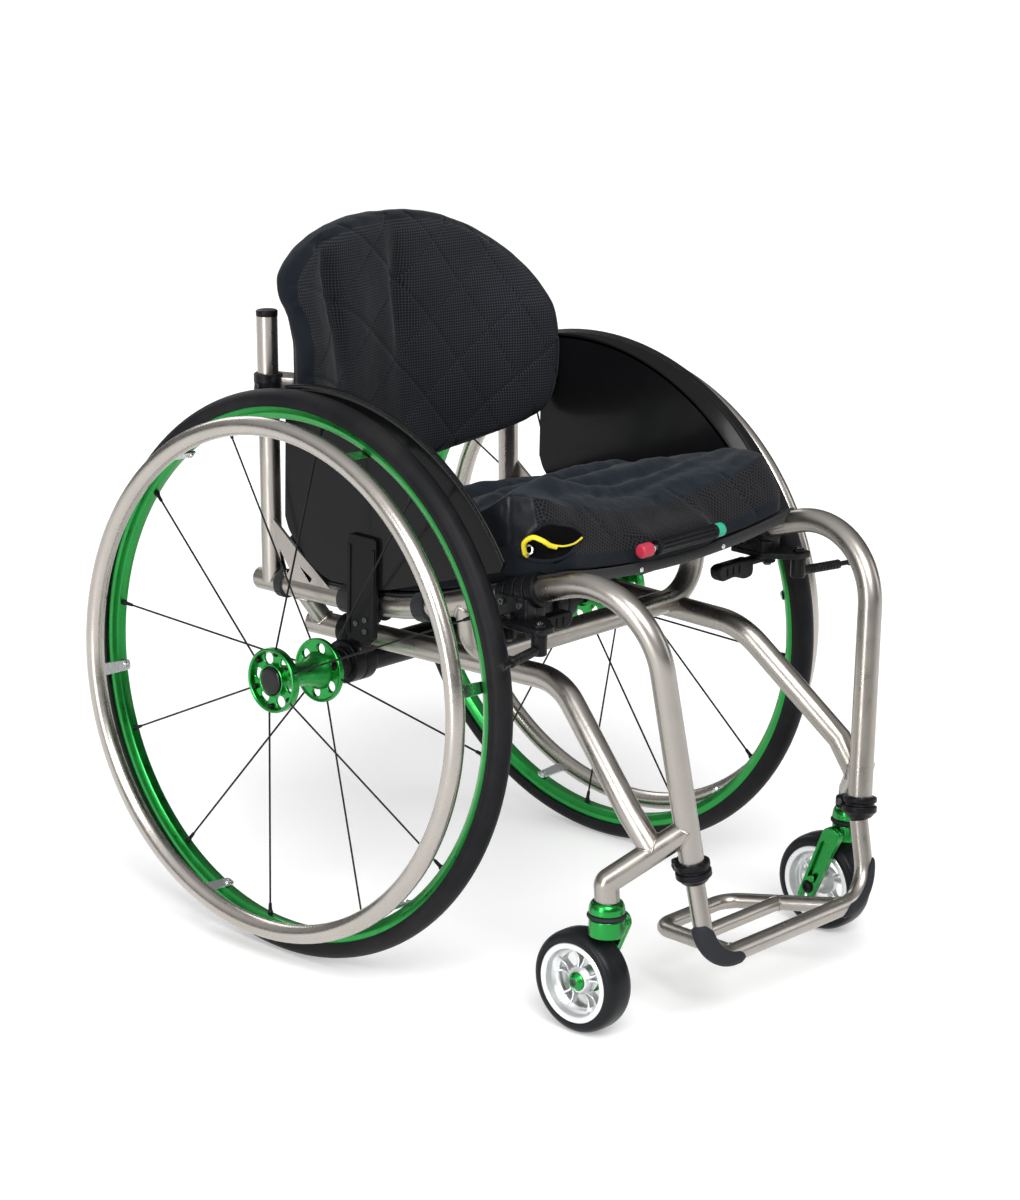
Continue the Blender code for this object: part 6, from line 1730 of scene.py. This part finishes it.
def back_shell():
    """The rigid shell behind the pad, with two ribs and its screws."""
    def ring(share, lift):
        points = []
        for i in range(144):
            turn = math.tau * (i + 0.5) / 144
            radius = BACK_REACH(turn) * share
            x, z = radius * math.cos(turn), PAD_MIDDLE + radius * math.sin(turn)
            points.append(Vector((x, back_rear(x, z) + lift, z)))
        return points
    layers = [(0.05, 0.0006), (0.35, 0.0006), (0.6, 0.0006), (0.8, 0.0006), (0.915, 0.0006), (0.926, 0.0009),
              (0.93, 0.0022), (0.93, 0.0038), (0.926, 0.005), (0.917, 0.0056), (0.905, 0.0054),
              (0.89, 0.0048), (0.8, 0.0046), (0.6, 0.0046), (0.35, 0.0046), (0.05, 0.0046)]
    single("back_shell_form", skin([ring(share, lift) for share, lift in layers]), SHELL, ["back_shell"],
           bend=50.0)
    ribs, screws = [], []
    oval = [(0.007 * math.cos(a), 0.0035 * math.sin(a)) for a in turns(24)]
    for x in (-0.062, 0.062):
        line = [Vector((x, back_rear(x, z) + 0.0046, z)) for z in [0.5 + 0.02 * k for k in range(11)]]
        ribs.append(sweep(line, oval, up=Vector((0.0, 1.0, 0.0))))
        for z in (0.52, 0.6, 0.68):
            screws.append(bolt((x, back_rear(x, z) + 0.0075, z), (0.0, 1.0, 0.0), 0.0042, 0.0022, 0.5,
                               0.0062))
    single("back_shell_ribs", merged(*ribs), SHELL, bend=50.0)
    single("back_shell_screws", merged(*screws), DARK_STEEL)


MOUNT_Z = PAD_LOW + 0.117


def back_mount():
    along = (CANE_TOP - CANE_FOOT).normalized()
    centre = CANE_FOOT + along * ((MOUNT_Z - CANE_FOOT.z) / along.z)
    ring = [(-0.012, 0.0113), (0.012, 0.0113), (0.012, 0.0138), (0.0108, 0.015), (0.003, 0.015),
            (0.0026, 0.0146), (-0.0026, 0.0146), (-0.003, 0.015), (-0.0108, 0.015), (-0.012, 0.0138)]
    clamp = turned(ring, 64, looking(centre, centre + along), closed=True)
    pair("back_mount_clamp", clamp, BLACK_METAL, ["back_mount"])
    inner = centre.x - 0.034
    mid = inner + 0.024
    face = 0.0006 + 0.0046
    edge = [(inner, back_rear(inner, MOUNT_Z) + face),
            (inner + 0.012, back_rear(inner + 0.012, MOUNT_Z) + face),
            (mid, back_rear(mid, MOUNT_Z) + face), (centre.x - 0.0035, centre.y - 0.0135),
            (centre.x - 0.0135, centre.y + 0.004), (inner + 0.01, centre.y + 0.008)]
    bracket = plate([rounded(edge, 0.0022, 4, True)], MOUNT_Z - 0.009, MOUNT_Z + 0.009, 0.0012)
    pair("back_mount_bracket", bracket, SATIN, ["back_mount"])
    screws = [bolt((centre.x - 0.0165, centre.y + 0.0062, MOUNT_Z + dz), (-0.5, 0.8, 0.0), 0.003, 0.002)
              for dz in (-0.005, 0.005)]
    screws.append(bolt(centre + Vector((0.0148, 0.0, 0.0)), (1.0, 0.0, 0.0), 0.0032, 0.0022))
    pair("back_mount_screws", merged(*screws), DARK_STEEL)


# Valve and hose

def valve():
    """The fluted valve bar, and its slider with a knob at each end."""
    half = 0.046
    stations = [(-half, 0.0066), (-half + 0.0006, 0.0076), (-half + 0.002, 0.008), (-half + 0.004, 0.008)]
    stations += [(x, 0.0079) for x in (-half + 0.0046, half - 0.0046)]
    stations += [(half - 0.004, 0.008), (half - 0.002, 0.008), (half - 0.0006, 0.0076), (half, 0.0066)]
    rings = []
    for x, radius in stations:
        ring = []
        for turn in turns(96):
            deep = 0.0017 if abs(x) < half - 0.0042 else 0.0
            flute = (0.5 + 0.5 * math.cos(9 * turn)) ** 0.7
            r = radius - deep * (1 - flute)
            ring.append(VALVE + Vector((x, r * math.cos(turn), r * math.sin(turn))))
        rings.append(ring)
    single("valve_body_form", skin(rings), BLACK_METAL, ["cushion_valve_body"], bend=40.0)
    end = -half - 0.009

    def knob(points):
        rings = []
        for x, radius in points:
            ring = []
            for i, turn in enumerate(turns(72)):
                r = radius - (0.00035 if i % 2 and radius > 0.0066 else 0.0)
                ring.append(VALVE + Vector((x, r * math.cos(turn), r * math.sin(turn))))
            rings.append(ring)
        return skin(rings)

    red = knob([(end - 0.016, 0.004), (end - 0.0158, 0.0056), (end - 0.015, 0.0066), (end - 0.014, 0.0071),
                (end - 0.0128, 0.0072), (end - 0.002, 0.0072), (end - 0.0008, 0.007), (end, 0.0062)])
    teal = knob([(half + 0.0003, 0.0064), (half + 0.0012, 0.0072), (half + 0.01, 0.0072),
                 (half + 0.0114, 0.0068), (half + 0.012, 0.0058)])
    stem = turned([(end - 0.001, 0.0), (end - 0.001, 0.005), (end + 0.0022, 0.005), (end + 0.0028, 0.0044),
                   (end + 0.0034, 0.003), (half + 0.0005, 0.003), (half + 0.0005, 0.0)], 40,
                  Matrix.Translation(VALVE), closed=False)
    single("valve_red_knob", red, RED, ["cushion_valve_slider"], "valve_slider", 50.0)
    single("valve_green_knob", teal, TEAL, ["cushion_valve_slider"], "valve_slider", 50.0)
    single("valve_stem", stem, STEEL, ["cushion_valve_slider"], "valve_slider")


# The hose's loop outside the cushion
HOSE = [(-0.1881, -0.262, 0.466), (-0.1941, -0.266, 0.478), (-0.1951, -0.277, 0.486),
        (-0.1931, -0.287, 0.485), (-0.1846, -0.2905, 0.479)]


def hose():
    """The looped hose. Both ends run on into the cushion."""
    line = smooth_line([Vector(p) for p in HOSE], 8)
    inner = [line[0] + Vector((0.006, 0.001, -0.004)), line[0] + Vector((0.003, 0.0004, -0.0026))]
    outer = [line[-1] + Vector((0.0042, -0.001, -0.0018)), line[-1] + Vector((0.008, -0.002, -0.003))]
    line = inner + line + outer
    mesh = tube(line, 0.0025, 20, 0.0004)
    form = single("pocket_hose_form", mesh, YELLOW, ["pocket_hose"])
    points = [(p.x, p.y + SHIFT, p.z) for p in line]
    length = sum((b - a).length for a, b in zip(line, line[1:]))
    return form, points, length


def pocket(cover):
    """The piped edge of the pocket at the near front corner, a very dark sheet across its mouth that paints the
    shade inside the pocket, and its eyelet.
    """
    def out(along, rise):
        spot = corner_spot(along, rise)
        sight = (spot - EYE).normalized()
        return (cover.ray_cast(EYE, sight)[0] or spot) - sight * 0.0004

    def hugging(line, proud):
        places = smooth_line([Vector((0.0, a, z)) for a, z in line], 6)
        spots = [out(p.y, p.z) for p in places]
        for _ in range(3):
            spots = [spots[0]] + [(a + b * 2 + c) / 4 for a, b,
                                  c in zip(spots, spots[1:], spots[2:])] + [spots[-1]]
        return [p + (EYE - p).normalized() * proud for p in spots]

    def corner_spot(along, rise):
        if along > CORNER_Y:
            return Vector((SIDE_X, along, rise))
        turn = min(1.0, (CORNER_Y - along) / CORNER_TURN)
        x = SIDE_X + 0.0125 * turn ** 2 + max(0.0, CORNER_Y - along - CORNER_TURN) * 0.97
        y = CORNER_Y - CORNER_DEPTH * math.sin(turn * math.pi / 2)
        return Vector((x, y, rise))

    rims = [tube(hugging(line, 0.0007), 0.0014, 12, 0.0004) for line in (POCKET, POCKET_LOW)]
    single("pocket_piping", merged(*rims), KNIT_SIDE)
    # A very dark sheet laid across the pocket's mouth as seen from the eye: painted shade standing in for the
    # shade inside the pocket
    rows = []
    for k in range(33):
        share = 0.02 + 0.96 * k / 32
        along = POCKET[0][0] + (POCKET[-1][0] - POCKET[0][0]) * share
        ends = [height_on(line, along) for line in (POCKET_LOW, POCKET)]
        row = []
        for j in range(13):
            across = j / 12
            spot = out(along, ends[0] + (ends[1] - ends[0]) * across)
            deep = 0.004 * math.sin(math.pi * across) * math.sin(math.pi * share)
            row.append(spot + (spot - EYE).normalized() * (deep + 0.0002))
        rows.append(row)
    bm = bmesh.new()
    grid = [[bm.verts.new(p) for p in row] for row in rows]
    for row, following in zip(grid, grid[1:]):
        for a, b, c, d in zip(row, row[1:], following[1:], following):
            bm.faces.new((a, b, c, d))
    bmesh.ops.recalc_face_normals(bm, faces=bm.faces)
    shade_sheet = bpy.data.meshes.new("pocket_shade_sheet")
    bm.to_mesh(shade_sheet)
    bm.free()
    thick = bpy.data.objects.new("thick", shade_sheet)
    wall = thick.modifiers.new("wall", "SOLIDIFY")
    wall.thickness, wall.offset = 0.0008, 0.0
    bpy.context.scene.collection.objects.link(thick)
    shaped = evaluated(thick)
    lay_cloth(shaped, flat_unroll)
    single("pocket_shade_sheet", shaped, POCKET_SHADE_CLOTH, bend=60.0)
    edge = hugging(((-0.292, 0.482), (-0.302, 0.4815), (-0.312, 0.4815), (-0.323, 0.4825),
                    (-0.3325, 0.486)), 0.0026)
    single("pocket_binding", tube(edge, 0.001, 12, 0.0003), YELLOW)
    spot = Vector((-0.1868, -0.2665, 0.47))
    ring = turned([(-0.0006, 0.0028), (0.001, 0.003), (0.0014, 0.0038), (0.001, 0.005), (-0.0006, 0.0054)],
                  40, looking(spot, spot + Vector((-1.0, -0.12, 0.25))), closed=True)
    single("pocket_eyelet", ring, STEEL)


# Light, floor and camera

FLOOR_GLOW = 0.3
WORLD_LOW, WORLD_HIGH = 0.24, 0.52
GLOSS_LOW = 0.16
SOFT_SIDE = (-0.99, -0.13, 0.0)
CAMERA_TURNS = (-48.3324, 15.8931, 1.3191)
CAMERA_LENS = 102.291
LAMPS = (("fill", (2.6, -2.6, 1.6), (1.2, 2.0), 16.0), ("rim", (1.0, 2.9, 2.0), (2.0, 1.0), 20.0),
         ("strip", (-3.1, -0.4, 1.1), (0.8, 2.2), 48.0))


def stage():
    """A pale floor that fades into a white surround, one soft sun and three lamps."""
    floor = bpy.data.meshes.new("floor")
    bm = bmesh.new()
    bmesh.ops.create_circle(bm, cap_ends=True, segments=96, radius=40.0)
    bm.to_mesh(floor)
    bm.free()
    ground = bpy.data.objects.new("floor", floor)
    bpy.context.scene.collection.objects.link(ground)
    ground.location.z = -0.0005
    net = Net("pale_floor", 0.9, 0.0, Specular_IOR_Level=0.1)
    cloud = net.noise(net.where(), 0.8, 2.0)
    net.fill(net.shader, {"Base Color": net.mix(cloud, (0.795, 0.797, 0.8), (0.805, 0.803, 0.8))})
    rays = net.tree.nodes.new("ShaderNodeLightPath")
    seen = net.math("MAXIMUM", rays.outputs["Is Camera Ray"], rays.outputs["Is Glossy Ray"])
    seen = net.math("MAXIMUM", seen, rays.outputs["Is Transmission Ray"])
    glow = net.add("Emission",
                   {"Color": (1.0, 1.0, 1.0, 1.0), "Strength": net.math("MULTIPLY", seen, FLOOR_GLOW)})
    both = net.add("AddShader", {0: net.shader.outputs[0], 1: glow})
    net.tree.links.new(both, net.tree.nodes["Material Output"].inputs["Surface"])
    floor.materials.append(net.made)

    world = bpy.data.worlds.new("studio")
    bpy.context.scene.world = world
    world.use_nodes = True
    tree = world.node_tree
    tree.nodes.clear()

    def node(kind, operation=None, **values):
        made = tree.nodes.new("ShaderNode" + kind)
        if operation:
            made.operation = operation
        for key, value in values.items():
            socket = made.inputs[int(key[1:]) if key[1:].isdigit() else key]
            if isinstance(value, bpy.types.NodeSocket):
                tree.links.new(value, socket)
            else:
                socket.default_value = value
        return made.outputs

    place = node("TexCoord")["Generated"]
    rays = node("LightPath")
    rise = node("SeparateXYZ", i0=place)[2]
    white = node("Math", "MAXIMUM", i0=rays["Is Camera Ray"], i1=rays["Is Transmission Ray"])[0]
    dim = node("MapRange", i0=rise, i1=0.0, i2=0.85, i3=WORLD_LOW, i4=WORLD_HIGH)[0]
    shiny = node("MapRange", i0=rise, i1=0.05, i2=0.8, i3=GLOSS_LOW, i4=1.0)[0]
    lean = node("VectorMath", "DOT_PRODUCT", i0=place, i1=SOFT_SIDE)["Value"]
    sided = node("MapRange", i0=lean, i1=-0.8, i2=0.8, i3=0.3, i4=1.0)[0]
    glossy = node("Math", "MULTIPLY", i0=shiny, i1=sided)[0]
    grade = node("Mix", i0=rays["Is Glossy Ray"], i2=dim, i3=glossy)[0]
    final = node("Mix", i0=white, i2=grade, i3=1.0)[0]
    light = node("Background", Color=(1.0, 1.0, 1.0, 1.0), Strength=final)[0]
    node("OutputWorld", Surface=light)

    sun = bpy.data.lights.new("key", "SUN")
    sun.energy = 2.3
    sun.angle = math.radians(32.0)
    lamps = [("key", sun, (-1.3, -1.6, 2.4))]
    for name, place, size, power in LAMPS:
        lamp = bpy.data.lights.new(name, "AREA")
        lamp.shape = "RECTANGLE"
        lamp.size, lamp.size_y = size
        lamp.energy = power
        lamps.append((name, lamp, place))
    for name, lamp, place in lamps:
        obj = bpy.data.objects.new(name, lamp)
        bpy.context.scene.collection.objects.link(obj)
        obj.location = place
        obj.rotation_euler = (Vector((0.0, 0.0, 0.35)) - Vector(place)).to_track_quat("-Z", "Y").to_euler()


def camera():
    """The photograph's camera, as solved from the outlines of both rear wheels."""
    eye = EYE + Vector((0.0, SHIFT, 0.0))
    around, above_floor, roll = (math.radians(turn) for turn in CAMERA_TURNS)
    back = Vector((math.sin(around) * math.cos(above_floor), -math.cos(around) * math.cos(above_floor),
                   math.sin(above_floor)))
    right = UP.cross(back).normalized()
    up = back.cross(right)
    across = right * math.cos(roll) + up * math.sin(roll)
    above = up * math.cos(roll) - right * math.sin(roll)
    lens = bpy.data.cameras.new("camera")
    lens.sensor_width = 36.0
    lens.lens = CAMERA_LENS
    lens.clip_start, lens.clip_end = 0.05, 200.0
    obj = bpy.data.objects.new("camera", lens)
    bpy.context.scene.collection.objects.link(obj)
    obj.matrix_world = Matrix.Translation(eye) @ Matrix((across, above, back)).transposed().to_4x4()
    bpy.context.scene.camera = obj


for build in (stage, camera, frame_tubes, cane_and_gusset, footrest, leg_clamp, corner_bumper, axle_parts,
              rear_wheel, hub, caster_mount, caster_fork, caster_wheel, side_guard, guard_receiver, wheel_lock):
    build()
cloth, flat, thread = sling()
cover, cover_surface = cushion()
pad = back()
back_shell()
back_mount()
valve()
pocket(cover_surface)
tubing, route, length = hose()
bpy.context.scene.view_settings.view_transform = "Standard"
bpy.context.view_layer.update()
